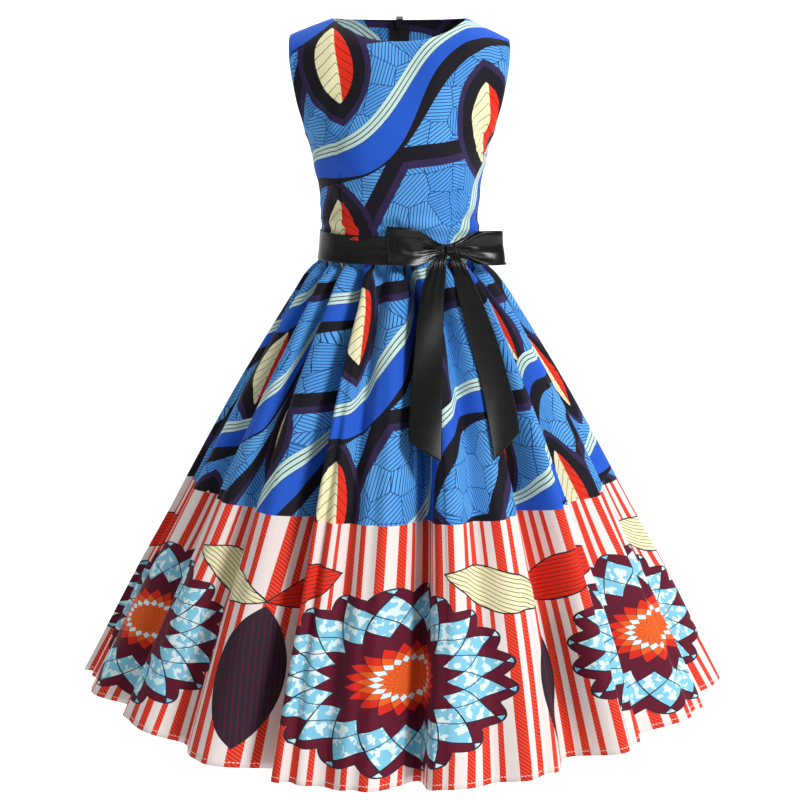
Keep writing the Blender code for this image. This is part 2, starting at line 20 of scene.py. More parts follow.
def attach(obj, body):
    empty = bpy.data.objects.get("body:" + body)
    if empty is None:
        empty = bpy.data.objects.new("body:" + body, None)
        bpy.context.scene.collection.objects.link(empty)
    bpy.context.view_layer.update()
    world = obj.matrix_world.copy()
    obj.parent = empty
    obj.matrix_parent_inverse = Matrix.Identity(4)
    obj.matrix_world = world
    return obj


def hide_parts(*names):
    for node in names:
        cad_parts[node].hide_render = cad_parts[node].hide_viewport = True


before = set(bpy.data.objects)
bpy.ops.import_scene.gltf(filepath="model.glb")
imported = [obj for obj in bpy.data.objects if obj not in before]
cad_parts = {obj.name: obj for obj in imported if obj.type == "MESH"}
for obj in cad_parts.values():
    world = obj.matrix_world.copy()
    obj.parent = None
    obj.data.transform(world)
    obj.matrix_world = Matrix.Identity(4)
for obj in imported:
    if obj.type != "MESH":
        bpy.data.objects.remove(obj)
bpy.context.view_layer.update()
log = logging.getLogger("sundress")

Array = np.ndarray
Material = bpy.types.Material
Node = bpy.types.Node
Object = bpy.types.Object
Shape = bmesh.types.BMesh
Socket = bpy.types.NodeSocket
Tree = bpy.types.NodeTree
Row = tuple[float, ...]
Colour = tuple[float, float, float]
BODY = "dress"
TURN = 2 * math.pi


def dye(red: int, green: int, blue: int) -> Colour:
    """Turns a screen colour into the linear one that a shader takes.

    Args:
        red: 0 to 255.
        green: 0 to 255.
        blue: 0 to 255.

    Returns:
        The linear colour.
    """
    return tuple(((c / 255 + 0.055) / 1.055) ** 2.4 if c > 10 else c / 3295 for c in (red, green, blue))


class Side(Enum):
    """Which half of the dress a panel belongs to, with the direction that it faces along Y."""

    FRONT = -1
    BACK = 1


class Edge(Enum):
    """How a ribbon's wall lies against the surface that it was drawn on."""

    INWARD = -1.0
    OUTWARD = 1.0


@dataclass(frozen=True)
class SmoothCurve:
    """A smooth curve through a table's rows, which never overshoots them."""

    rows: tuple[Row, ...]
    column: int = 1

    def at(self, place: Array | float) -> Array:
        """Reads the curve.

        Args:
            place: Places in the table's first column.

        Returns:
            The values there, with the end rows' values outside the table.
        """
        places = np.array([row[0] for row in self.rows])
        values = np.array([row[self.column] for row in self.rows])
        steps = np.diff(places)
        slopes = np.diff(values) / steps
        before, after = slopes[:-1], slopes[1:]
        turning = before * after <= 0
        tangents = np.empty(len(places))
        tangents[0], tangents[-1] = slopes[0], slopes[-1]
        tangents[1:-1] = np.where(turning, 0.0, 2 * before * after / np.where(turning, 1.0, before + after))
        place = np.clip(place, places[0], places[-1])
        i = np.clip(np.searchsorted(places, place, side="right") - 1, 0, len(steps) - 1)
        s = (place - places[i]) / steps[i]
        return (
            values[i] * (1 + 2 * s) * (1 - s) ** 2
            + values[i + 1] * s * s * (3 - 2 * s)
            + tangents[i] * steps[i] * s * (1 - s) ** 2
            - tangents[i + 1] * steps[i] * s * s * (1 - s)
        )


def eased(share: Array | float) -> Array:
    """A share from 0 to 1 that starts and ends gently."""
    share = np.clip(share, 0.0, 1.0)
    return share * share * (3 - 2 * share)


def scattered(index: Array | float, seed: float) -> Array:
    """A number from 0 to 1 that looks random and is the same for the same index and seed.

    Args:
        index: What to draw a number for.
        seed: Which set of numbers to draw from.

    Returns:
        The number.
    """
    raw = np.sin(np.asarray(index) * 12.9898 + seed * 78.233) * 43758.5453
    return raw - np.floor(raw)


def ridge(distance: Array, width: float) -> Array:
    """A soft ridge across a line: 1 on it, and nothing a few widths away."""
    return np.exp(-((distance / width) ** 2))


def tuck(phase: Array, sharpness: float) -> Array:
    """Narrow valleys between round crests: 1 at each whole number, 0 halfway between."""
    return (1 - np.abs(np.sin(math.pi * phase))) ** sharpness


@dataclass(frozen=True)
class DressForm:
    """The filled-out shape of the dress, by the sizes that its solids are made with."""

    waist_height: float = -0.337
    seam_gap: float = 0.0003
    neck_half: float = 0.0957
    shoulder_half: float = 0.1573
    shoulder_drop_left: float = 0.0225
    shoulder_drop_right: float = 0.0300
    front_neck_drop: float = 0.0323
    back_neck_drop: float = 0.0020
    neckline_roundness: float = 2.4
    neck_root: float = 0.035
    bust_rise: float = 0.009
    bust_apart: float = 0.076
    bust_spread: float = 0.038
    bust_height: float = -0.192
    bust_tall: float = 0.055
    underarm_height: float = -0.1720
    underarm_ease: float = 0.0005
    underarm_reach: float = 0.030
    # height, half width at the seam or armhole edge, half width of the body behind it
    torso_widths: tuple[Row, ...] = (
        (-0.337, 0.1165, 0.1165), (-0.315, 0.1143, 0.1143), (-0.2855, 0.1134, 0.1134), (-0.2634, 0.1144, 0.1144),
        (-0.2341, 0.1178, 0.1178), (-0.2049, 0.124, 0.124), (-0.1758, 0.1311, 0.1311), (-0.164, 0.1341, 0.1341),
        (-0.156, 0.1362, 0.1406), (-0.1468, 0.1387, 0.1468), (-0.1178, 0.1466, 0.164), (-0.0889, 0.1521, 0.18),
        (-0.0602, 0.1562, 0.207), (-0.0344, 0.1573, 0.26), (0.04, 0.1573, 0.32),
    )
    # distance below the shoulder ridge, depth of the front, depth of the back
    torso_depths: tuple[Row, ...] = (
        (0.0, 0.0, 0.0), (0.01, 0.034, 0.034), (0.032, 0.06, 0.058), (0.07, 0.083, 0.08), (0.12, 0.106, 0.093),
        (0.16, 0.1165, 0.097), (0.19, 0.1205, 0.098), (0.22, 0.118, 0.097), (0.25, 0.1105, 0.094),
        (0.285, 0.103, 0.091), (0.337, 0.098, 0.091), (0.38, 0.098, 0.091),
    )
    # height and half width of the outermost folds
    skirt_profile: tuple[Row, ...] = (
        (-0.3373, 0.1165), (-0.345, 0.118), (-0.353, 0.1275), (-0.365, 0.1395), (-0.395, 0.16), (-0.456, 0.1978),
        (-0.5163, 0.2342), (-0.6073, 0.2848), (-0.6684, 0.3172), (-0.7299, 0.3492), (-0.7918, 0.3828),
        (-0.8541, 0.4145), (-0.9168, 0.4452), (-0.978, 0.4755),
    )
    waist_front: float = 0.098
    waist_back: float = 0.091
    # one fold valley: angle at the waist, angle at the hem, depth at the waist, depth at the hem
    valleys: tuple[Row, ...] = (
        (-80.0, -79.0, 0.006, 0.034), (-62.0, -61.0, 0.005, 0.03), (-47.0, -42.0, 0.006, 0.038),
        (-30.0, -26.5, 0.007, 0.054), (-15.0, -13.0, 0.005, 0.015), (6.0, -1.0, 0.007, 0.06),
        (24.0, 15.0, 0.005, 0.014), (42.0, 31.0, 0.007, 0.056), (60.0, 50.0, 0.005, 0.036),
        (77.0, 72.0, 0.006, 0.032), (96.0, 101.0, 0.005, 0.034), (112.0, 116.0, 0.006, 0.044),
        (128.0, 131.0, 0.005, 0.03), (144.0, 146.0, 0.006, 0.05), (162.0, 163.0, 0.004, 0.028),
        (198.0, 195.0, 0.004, 0.03), (216.0, 213.0, 0.006, 0.048), (232.0, 231.0, 0.005, 0.032),
        (248.0, 250.0, 0.006, 0.046), (264.0, 265.0, 0.005, 0.03),
    )
    valley_sharpness: float = 1.7
    valley_growth: float = 0.75
    gather_length: float = 0.035
    valley_sag: float = 0.22
    skirt_lean: float = 0.0035
    lean_share: float = 0.10
    side_lift: float = 0.020
    side_seam_left: float = -0.5
    side_seam_right: float = 10.0
    centre_back: float = 14.5

    def top_edge(self, side: Side, x: Array) -> Array:
        """Height of the neckline or the shoulder seam.

        Args:
            side: The front or the back.
            x: Distance from the middle.

        Returns:
            The height at each x.
        """
        away = np.abs(x)
        drop = self.front_neck_drop if side is Side.FRONT else self.back_neck_drop
        neckline = -drop * (1 - np.minimum(away / self.neck_half, 1.0) ** self.neckline_roundness)
        slope = np.where(x < 0, self.shoulder_drop_left, self.shoulder_drop_right)
        shoulder = -slope * (away - self.neck_half) / (self.shoulder_half - self.neck_half)
        return np.where(away < self.neck_half, neckline, shoulder)

    def torso_depth(self, side: Side, x: Array, height: Array) -> Array:
        """How far the cloth stands from the plane of the side seams.

        Args:
            side: The front or the back.
            x: Distance from the middle.
            height: Height below the neck points.

        Returns:
            The depth at each point.
        """
        within = np.minimum(np.abs(x) / self.neck_half, 1.0)
        root = self.neck_root * np.sqrt(1 - within**2) if side is Side.BACK else np.zeros_like(within)
        edge = np.where(np.abs(x) < self.neck_half, root, self.top_edge(side, x))
        below = np.maximum(edge - height, 0.0)
        rows = tuple((math.sqrt(row[0]), *row[1:]) for row in self.torso_depths)
        depth = SmoothCurve(rows, 1 if side is Side.FRONT else 2).at(np.sqrt(below))
        if side is Side.FRONT:
            across = (np.abs(x) - self.bust_apart) / self.bust_spread
            up = (height - self.bust_height) / self.bust_tall
            depth = depth + self.bust_rise * np.exp(-(across**2) - up**2)
        body = SmoothCurve(self.torso_widths, 2).at(height)
        return depth * np.sqrt(np.maximum(1 - (x / body) ** 2, 0.0))

    def bodice(self, side: Side, across: Array, up: Array) -> Array:
        """Points on the outside of a bodice panel.

        Args:
            side: The front or the back.
            across: From -1 at the left edge to 1 at the right edge.
            up: From 0 at the waist to 1 at the neckline or shoulder.

        Returns:
            The points.
        """
        widths = SmoothCurve(self.torso_widths, 1)
        spread = np.sin(across * math.pi / 2)
        top = np.zeros(np.broadcast(across, up).shape)
        for _ in range(12):
            top = self.top_edge(side, spread * widths.at(top))
        foot = self.waist_height + self.seam_gap
        height = foot + (top - foot) * up
        x = spread * widths.at(height)
        ease = self.underarm_ease * ridge(height - self.underarm_height, self.underarm_reach)
        depth = self.torso_depth(side, x, height) + self.seam_gap / 2 + ease
        return np.stack([x, side.value * depth, height], axis=-1)

    @property
    def folds(self) -> int:
        """How many large folds go round the skirt."""
        return len(self.valleys)

    def slants(self) -> Array:
        """Distances down the skirt's slope to each row of its profile."""
        steps = np.diff(np.array(self.skirt_profile), axis=0)
        return np.concatenate([[0.0], np.cumsum(np.hypot(steps[:, 0], steps[:, 1]))])

    def skirt_length(self) -> float:
        """Length of the skirt down its slope, from the waist seam to the hem."""
        return float(self.slants()[-1])

    def fold_depth(self, fold: Array, down: Array) -> Array:
        """How far the large folds fall in from the skirt's profile.

        Args:
            fold: Place round the skirt, in fold valleys.
            down: 0 at the waist to 1 at the hem.

        Returns:
            The depth at each point.
        """
        rows = np.array(self.valleys)
        middle = np.round(fold)
        nearest, away = middle.astype(int) % self.folds, fold - middle
        valley = (0.5 + 0.5 * np.cos(TURN * away)) ** self.valley_sharpness
        gathered = rows[nearest, 2] * eased(down / self.gather_length)
        grown = (rows[nearest, 3] - rows[nearest, 2]) * np.maximum(down, 0.0) ** self.valley_growth
        return (gathered + grown) * valley

    def fold_angle(self, fold: Array, down: Array) -> Array:
        """Angle round the body, in degrees from the front centre, of places on the skirt.

        Args:
            fold: Place round the skirt, in fold valleys.
            down: 0 at the waist to 1 at the hem.

        Returns:
            The angle at each place.
        """
        rows = np.array(self.valleys)
        low = np.floor(fold).astype(int)
        share = fold - low

        def valley_angle(index: Array) -> Array:
            """Angle of a valley, counted on past each whole turn."""
            row = rows[index % self.folds]
            return row[..., 0] + (row[..., 1] - row[..., 0]) * down + 360.0 * (index // self.folds)

        return valley_angle(low) * (1 - share) + valley_angle(low + 1) * share

    def skirt(self, fold: Array, down: Array, inward: Array | float = 0.0) -> Array:
        """Points on the outside of the skirt.

        Args:
            fold: Place round the skirt, in fold valleys.
            down: 0 at the waist to 1 at the hem.
            inward: How much further in the cloth lies than its large folds.

        Returns:
            The points.
        """
        share = self.slants() / self.skirt_length()
        rows = tuple((s, z, r) for s, (z, r) in zip(share, self.skirt_profile))
        depth = self.fold_depth(fold, down)
        half = SmoothCurve(rows, 2).at(down)
        turn = np.radians(self.fold_angle(fold, down))
        lift = self.side_lift * (down * np.sin(turn)) ** 2
        height = SmoothCurve(rows, 1).at(down) - self.valley_sag * depth + lift
        depth = depth + inward
        waist = np.where(np.cos(turn) > 0, self.waist_front, self.waist_back)
        flat = (self.skirt_profile[0][1] - waist) * (1 - down) ** 2
        x = (half - depth) * np.sin(turn) + self.skirt_lean * eased(down / self.lean_share)
        return np.stack([x, -(half - flat - depth) * np.cos(turn), height], axis=-1)

    def section(self, height: Array) -> tuple[Array, Array, Array]:
        """The outline of the outside near the waist.

        Args:
            height: Heights to cut the dress at.

        Returns:
            The half widths, the front depths and the back depths.
        """
        height = np.asarray(height, float)
        top = SmoothCurve(self.torso_widths, 1).at(height)
        middle = np.zeros_like(height)
        rows = tuple((-z, r) for z, r in self.skirt_profile)
        half = SmoothCurve(rows).at(-height)
        first, last = self.skirt_profile[0][1], self.skirt_profile[-1][1]
        flat = (1 - (half - first) / (last - first)) ** 2
        above = height > self.waist_height
        front, back = (
            np.where(above, self.torso_depth(side, middle, height), half - (first - waist) * flat)
            for side, waist in ((Side.FRONT, self.waist_front), (Side.BACK, self.waist_back))
        )
        return np.where(above, top, half), front, back

    def around(self, angle: Array, height: Array, lift: Array | float) -> Array:
        """Points a little out from the dress near the waist.

        Args:
            angle: Degrees from the front centre.
            height: Height of each point.
            lift: Distance out from the dress.

        Returns:
            The points.
        """
        half, front, back = self.section(height)
        turn = np.radians(angle)
        depth = np.where(np.cos(turn) > 0, front, back) + lift
        x, y, z = (half + lift) * np.sin(turn), -depth * np.cos(turn), height + 0.0 * turn
        return np.stack(np.broadcast_arrays(x, y, z), axis=-1)


class Term:
    """A value that a material works out, used in formulas like a number."""

    def __init__(self, tree: Tree, socket: Socket) -> None:
        """Keeps the material's nodes and the output that gives the value."""
        self.tree, self.socket = tree, socket

    def math(self, operation: str, *others: Term | float) -> Term:
        """Works out a further value.

        Args:
            operation: The Math node's operation.
            others: Its other inputs.

        Returns:
            The value.
        """
        node = self.tree.nodes.new("ShaderNodeMath")
        node.operation = operation
        for plug, value in zip(node.inputs, (self, *others)):
            if isinstance(value, Term):
                self.tree.links.new(value.socket, plug)
            else:
                plug.default_value = value
        return Term(self.tree, node.outputs[0])

    def __add__(self, other: Term | float) -> Term:
        """This plus other."""
        return self.math("ADD", other)

    def __sub__(self, other: Term | float) -> Term:
        """This less other."""
        return self.math("SUBTRACT", other)

    def __mul__(self, other: Term | float) -> Term:
        """This times other."""
        return self.math("MULTIPLY", other)

    def __truediv__(self, other: Term | float) -> Term:
        """This over other."""
        return self.math("DIVIDE", other)

    def size(self) -> Term:
        """This without its sign."""
        return self.math("ABSOLUTE")

    def under(self, limit: Term | float) -> Term:
        """1 where this is below the limit, else 0."""
        return self.math("LESS_THAN", limit)

    def over(self, limit: Term | float) -> Term:
        """1 where this is above the limit, else 0."""
        return self.math("GREATER_THAN", limit)

    def between(self, low: float, high: float) -> Term:
        """1 where this is from low to high, else 0."""
        return self.over(low) * self.under(high)

    def turns(self) -> Term:
        """How far this is past the last whole number."""
        return self.math("FRACT")

    def whole(self) -> Term:
        """The whole number at or below this."""
        return self.math("FLOOR")

    def wrapped(self, half: float) -> Term:
        """This brought between minus half and half by whole repeats."""
        return self.math("WRAP", half, -half)

    def sine(self) -> Term:
        """The sine of this, in radians."""
        return self.math("SINE")

    def lines(self, pitch: float, share: float) -> Term:
        """1 on lines across this, one to a pitch, that each take up a share of it."""
        return (self / pitch).turns().under(share)

    def waves(self, pitch: float) -> Term:
        """A wave of this, from -1 to 1, with one crest to a pitch."""
        return (self * (TURN / pitch)).sine()

    def length_with(self, other: Term) -> Term:
        """The length of the line whose sides are this and other."""
        return (self * self + other * other).math("SQRT")


class Paint:
    """The colour of a material, built up in layers."""

    def __init__(self, tree: Tree, ground: Colour) -> None:
        """Starts with a plain ground."""
        self.tree, self.ground = tree, ground
        self.socket: Socket | None = None

    def lay(self, mask: Term, colour: Colour | Socket) -> None:
        """Lays a colour where a mask is 1.

        Args:
            mask: Where the colour goes.
            colour: A plain colour, or the output that gives one.
        """
        node = self.tree.nodes.new("ShaderNodeMix")
        node.data_type = "RGBA"
        node.clamp_factor = True
        self.tree.links.new(mask.socket, node.inputs[0])
        below = self.ground if self.socket is None else self.socket
        for plug, layer in ((node.inputs[6], below), (node.inputs[7], colour)):
            if isinstance(layer, Socket):
                self.tree.links.new(layer, plug)
            else:
                plug.default_value = (*layer, 1.0)
        self.socket = node.outputs[2]


def noise(tree: Tree, place: Socket, scale: float, detail: float = 2.0) -> Term:
    """A soft random value.

    Args:
        tree: The material's nodes.
        place: The output that gives each point's place.
        scale: Blotches in a metre.
        detail: How much finer noise is in it.

    Returns:
        The value, about 0.5.
    """
    node = tree.nodes.new("ShaderNodeTexNoise")
    node.inputs["Scale"].default_value = scale
    node.inputs["Detail"].default_value = detail
    tree.links.new(place, node.inputs["Vector"])
    return Term(tree, node.outputs[0])


class FlatCloth:
    """Where each point lies on the flat cloth, in metres, from the UV map called cloth."""

    def __init__(self, tree: Tree) -> None:
        """Reads the UV map: the place as a whole, and u across and v up the cloth.

        Args:
            tree: The material's nodes.
        """
        uv = tree.nodes.new("ShaderNodeUVMap")
        uv.uv_map = "cloth"
        parts = tree.nodes.new("ShaderNodeSeparateXYZ")
        tree.links.new(uv.outputs[0], parts.inputs[0])
        self.tree, self.place = tree, uv.outputs[0]
        self.u, self.v = Term(tree, parts.outputs[0]), Term(tree, parts.outputs[1])


@dataclass(frozen=True)
class Palette:
    """The dyes of the print."""

    sky: Colour = dye(96, 172, 236)
    sky_deep: Colour = dye(76, 150, 224)
    navy: Colour = dye(26, 58, 122)
    royal: Colour = dye(38, 90, 200)
    mint: Colour = dye(200, 228, 222)
    black: Colour = dye(26, 24, 32)
    purple: Colour = dye(51, 40, 78)
    cream: Colour = dye(238, 231, 187)
    red: Colour = dye(228, 48, 28)
    border_white: Colour = dye(238, 226, 222)
    border_red: Colour = dye(216, 44, 28)
    border_fine: Colour = dye(236, 104, 78)
    maroon: Colour = dye(98, 22, 44)
    ice: Colour = dye(130, 200, 226)
    ice_white: Colour = dye(222, 240, 244)
    orange: Colour = dye(234, 98, 36)
    shadow: Colour = dye(46, 38, 50)


@dataclass(frozen=True)
class Finish:
    """A surface's finish: the base of every material here."""

    name: str
    roughness: float = 0.7
    bump_height: float = 0.0002
    specular: float = 0.5

    def start(self) -> tuple[Material, Tree, Node]:
        """Makes a material with its shader.

        Returns:
            The material, its nodes and its shader.
        """
        material = bpy.data.materials.new(self.name)
        material.use_nodes = True
        shader = material.node_tree.nodes["Principled BSDF"]
        shader.inputs["Roughness"].default_value = self.roughness
        shader.inputs["Specular IOR Level"].default_value = self.specular
        return material, material.node_tree, shader

    def mottle(
        self, shader: Node, soft: Term, shade: Colour, spread: float, gloss: float, drop: float
    ) -> None:
        """Gives a dark surface a little unevenness in its colour and its gloss.

        Args:
            shader: The shader that takes it.
            soft: The noise that it follows.
            shade: The darkest colour.
            spread: How many times lighter the lightest is.
            gloss: How much the roughness varies.
            drop: How far below the finish's roughness it starts.
        """
        paint = Paint(soft.tree, shade)
        paint.lay(soft, tuple(c * spread for c in shade))
        soft.tree.links.new(paint.socket, shader.inputs["Base Color"])
        rough = soft * gloss + (self.roughness - drop)
        soft.tree.links.new(rough.socket, shader.inputs["Roughness"])

    def raise_by(self, shader: Node, height: Term, strength: float) -> None:
        """Gives the shader a bump.

        Args:
            shader: The shader that takes it.
            height: The relief, from 0 to 1.
            strength: How strongly it shows.
        """
        bump = height.tree.nodes.new("ShaderNodeBump")
        bump.inputs["Strength"].default_value = strength
        bump.inputs["Distance"].default_value = self.bump_height
        height.tree.links.new(height.socket, bump.inputs["Height"])
        height.tree.links.new(bump.outputs[0], shader.inputs["Normal"])


@dataclass(frozen=True)
class PrintedCotton(Finish):
    """Printed cotton, with an all-over print above a striped border of round flowers."""

    specular: float = 0.12
    dyes: Palette = field(default_factory=Palette)
    border_top: float = 0.0
    hem_stitch: float = 0.0
    stitch_height: float = 0.0011
    stitch_pitch: float = 0.0042
    thread_pitch: float = 0.0007
    outline: float = 0.002
    patch_scale: float = 25.0
    patch_unevenness: float = 0.82
    patch_outline: float = 0.014
    line_pitch: float = 0.0047
    wave_slope: float = 36.0
    wave_repeat: float = 0.36
    wave_spacing: float = 0.215
    wave_swing: float = 0.026
    ribbon_width: float = 0.045
    edging_top: float = 0.0645
    pinstripe_start: float = 0.0443
    pinstripe_pitch: float = 0.0066
    stem_swing: float = 0.15
    stem_drop: float = 0.0375
    stem_purple: float = 0.012
    stem_black: float = 0.023
    leaf_repeat: float = 0.29
    leaf_tilt: float = -10.0
    leaf_size: tuple[float, float] = (0.094, 0.058)
    leaf_frames: tuple[float, float] = (0.009, 0.028)
    leaf_vein: float = 0.004
    leaf_rib_pitch: float = 0.015
    stripe_pitch: float = 0.0255
    slash_pitch: float = 0.0052
    flower_start: float = 0.058
    flower_height: float = 0.138
    flower_repeat: float = 0.62
    flower_stretch: float = 1.90
    flower_core: float = 0.016
    flower_reach: float = 0.112
    petals: int = 20
    petal_depth: float = 0.012
    ring_tightness: float = 0.72
    stalk_height: float = 0.122
    stalk_size: tuple[float, float] = (0.098, 0.042)
    stalk_rib_pitch: float = 0.006
    pair_height: float = 0.252
    pair_apart: float = 0.098
    pair_tilt: float = 15.0
    pair_size: tuple[float, float] = (0.104, 0.030)
    pair_rib_pitch: float = 0.0058

    @property
    def gap_middle(self) -> float:
        """Middle of the gap between two ribbons, up from the lower one's foot."""
        return (self.edging_top + self.wave_spacing) / 2

    def hatched_ground(self, cloth: FlatCloth, paint: Paint) -> None:
        """Patches of fine lines that run in many directions.

        Args:
            cloth: Where each point lies.
            paint: What they are laid on.
        """
        tree = cloth.tree
        edges, patches = (tree.nodes.new("ShaderNodeTexVoronoi") for _ in range(2))
        edges.feature = "DISTANCE_TO_EDGE"
        for cells in (edges, patches):
            cells.voronoi_dimensions = "2D"
            cells.inputs["Scale"].default_value = self.patch_scale
            cells.inputs["Randomness"].default_value = self.patch_unevenness
            tree.links.new(cloth.place, cells.inputs["Vector"])
        parts = tree.nodes.new("ShaderNodeSeparateColor")
        tree.links.new(patches.outputs["Color"], parts.inputs[0])
        turn = Term(tree, parts.outputs[0]) * TURN
        line = cloth.u * turn.math("COSINE") + cloth.v * turn.sine()
        paint.lay(Term(tree, parts.outputs[1]), self.dyes.sky_deep)
        paint.lay(line.lines(self.line_pitch, 0.26), self.dyes.navy)
        paint.lay(Term(tree, edges.outputs["Distance"]).under(self.patch_outline), self.dyes.navy)

    def turned(self, x: Term, y: Term, degrees: float) -> tuple[Term, Term]:
        """Turns a pair of coordinates.

        Args:
            x: Metres across.
            y: Metres up.
            degrees: How far what is drawn with them turns anticlockwise.

        Returns:
            The turned pair.
        """
        c, s = math.cos(math.radians(degrees)), math.sin(math.radians(degrees))
        return x * c + y * s, y * c - x * s

    def slanted(self, cloth: FlatCloth) -> tuple[Term, Term]:
        """Metres along the slanting waves and up across them."""
        return self.turned(cloth.u, cloth.v, self.wave_slope)

    def waves(self, cloth: FlatCloth, paint: Paint) -> None:
        """Waving ribbons with a thin dark lower edge and pale stripes along the upper one.

        Args:
            cloth: Where each point lies.
            paint: What they are laid on.
        """
        along, over = self.slanted(cloth)
        band = (over - along.waves(self.wave_repeat) * self.wave_swing) / self.wave_spacing
        band = band.turns() * self.wave_spacing
        wedge = (along * (math.pi / self.wave_repeat) + 0.9).sine()
        paint.lay(band.under(self.ribbon_width), self.dyes.royal)
        paint.lay(band.under(wedge * wedge * 0.022 + 0.003), self.dyes.black)
        edging = band.between(self.ribbon_width, self.edging_top)
        paint.lay(edging, self.dyes.mint)
        pinstripes = (band - self.pinstripe_start).lines(self.pinstripe_pitch, 0.22)
        paint.lay(edging * pinstripes, self.dyes.black)

    def stems(self, cloth: FlatCloth, paint: Paint) -> None:
        """Zigzag bars, half black and half purple, that run between the ribbons.

        Args:
            cloth: Where each point lies.
            paint: What they are laid on.
        """
        along, over = self.slanted(cloth)
        zigzag = ((along / self.leaf_repeat).turns() - 0.5).size() * self.stem_swing
        away = (over - zigzag - (self.gap_middle - self.stem_drop)).wrapped(self.wave_spacing / 2)
        paint.lay(away.between(-self.stem_purple, 0.0), self.dyes.purple)
        paint.lay(away.between(0.0, self.stem_black), self.dyes.black)

    def leaf(self, x: Term, y: Term, half: tuple[float, float]) -> Term:
        """How far outside a pointed leaf a point is.

        Args:
            x: Metres across the leaf from its middle.
            y: Metres along the leaf from its middle.
            half: Half its length and half its width.

        Returns:
            The distance, below 0 inside the leaf.
        """
        radius = (half[0] ** 2 + half[1] ** 2) / (2 * half[1])
        return (x.size() + (radius - half[1])).length_with(y) - radius

    def framed_leaves(self, cloth: FlatCloth, paint: Paint) -> None:
        """Leaves in purple and black frames, half cream and half red, between the ribbons.

        Args:
            cloth: Where each point lies.
            paint: What they are laid on.
        """
        along, over = self.slanted(cloth)
        row = ((over - self.gap_middle) / self.wave_spacing + 0.5).whole()
        along = (along - row * (self.leaf_repeat / 2)).wrapped(self.leaf_repeat / 2)
        over = (over - self.gap_middle).wrapped(self.wave_spacing / 2)
        x, y = self.turned(along, over, -self.wave_slope - self.leaf_tilt)
        edge = self.leaf(x, y, self.leaf_size)
        paint.lay(edge.under(0.0), self.dyes.purple)
        paint.lay(edge.under(-self.leaf_frames[0]), self.dyes.black)
        inside = edge.under(-self.leaf_frames[1])
        paint.lay(inside, self.dyes.cream)
        paint.lay(inside * x.over(self.leaf_vein), self.dyes.red)
        paint.lay(inside * (y + x.size() * 0.8).lines(self.leaf_rib_pitch, 0.075), self.dyes.black)

    def stripes(self, cloth: FlatCloth, paint: Paint) -> None:
        """Upright stripes of several widths, with fine slanting lines.

        Args:
            cloth: Where each point lies.
            paint: What they are laid on.
        """
        step = cloth.u / self.stripe_pitch
        width = (step.whole() * 2.4).sine() * 0.16 + 0.46
        red = step.turns().under(width)
        paint.lay(red, self.dyes.border_red)
        paint.lay(red * (cloth.u * 0.8 + cloth.v).lines(self.slash_pitch, 0.22), self.dyes.border_fine)

    def flowers(self, cloth: FlatCloth, paint: Paint) -> None:
        """Round flowers of ringed diamonds with scalloped petals.

        Args:
            cloth: Where each point lies.
            paint: What they are laid on.
        """
        x = (cloth.u - self.flower_start).wrapped(self.flower_repeat / 2) / self.flower_stretch
        y = cloth.v - self.flower_height
        radius = x.length_with(y)
        around = y.math("ARCTAN2", x) * (self.petals / TURN)
        outward = (radius / self.flower_core).math("LOGARITHM", math.e) * (self.petals / TURN * self.ring_tightness)
        one, other = outward + around, outward - around
        ring = one.whole() + other.whole()
        scallop = (around * math.pi).sine().size() * self.petal_depth + self.flower_reach
        flower = Paint(cloth.tree, self.dyes.ice)
        flower.lay(noise(cloth.tree, cloth.place, 85.0).over(0.53), self.dyes.ice_white)
        for first, last, colour in (
            (-99.0, 0.5, self.dyes.orange),
            (0.5, 1.5, self.dyes.ice_white),
            (1.5, 2.5, self.dyes.orange),
            (2.5, 3.5, self.dyes.border_red),
            (3.5, 5.5, self.dyes.maroon),
            (7.5, 8.5, self.dyes.maroon),
        ):
            flower.lay(ring.between(first, last), colour)
        flower.lay(one.turns().math("MINIMUM", other.turns()).under(0.055), self.dyes.shadow)
        flower.lay(radius.over(scallop - self.outline), self.dyes.shadow)
        paint.lay(radius.under(scallop), flower.socket)

    def paired_leaves(self, cloth: FlatCloth, paint: Paint) -> None:
        """A cream leaf and a red leaf above a dark one, between the flowers.

        Args:
            cloth: Where each point lies.
            paint: What they are laid on.
        """
        half = self.flower_repeat / 2
        x, v = (cloth.u - self.flower_start - half).wrapped(half), cloth.v
        stalk = self.leaf(x, v - self.stalk_height, self.stalk_size)
        paint.lay(stalk.under(0.0), self.dyes.shadow)
        ribs = (x + v * 0.1).lines(self.stalk_rib_pitch, 0.20)
        paint.lay(stalk.under(-self.outline) * ribs, self.dyes.maroon)
        for sign, colour in ((-1, self.dyes.cream), (1, self.dyes.red)):
            along, over = self.turned(x - sign * self.pair_apart, v - self.pair_height, sign * self.pair_tilt)
            edge = self.leaf(over, along, self.pair_size)
            inside = edge.under(-self.outline)
            paint.lay(edge.under(0.0), self.dyes.shadow)
            paint.lay(inside, colour)
            paint.lay(inside * (over + along * 0.12).lines(self.pair_rib_pitch, 0.16), self.dyes.shadow)

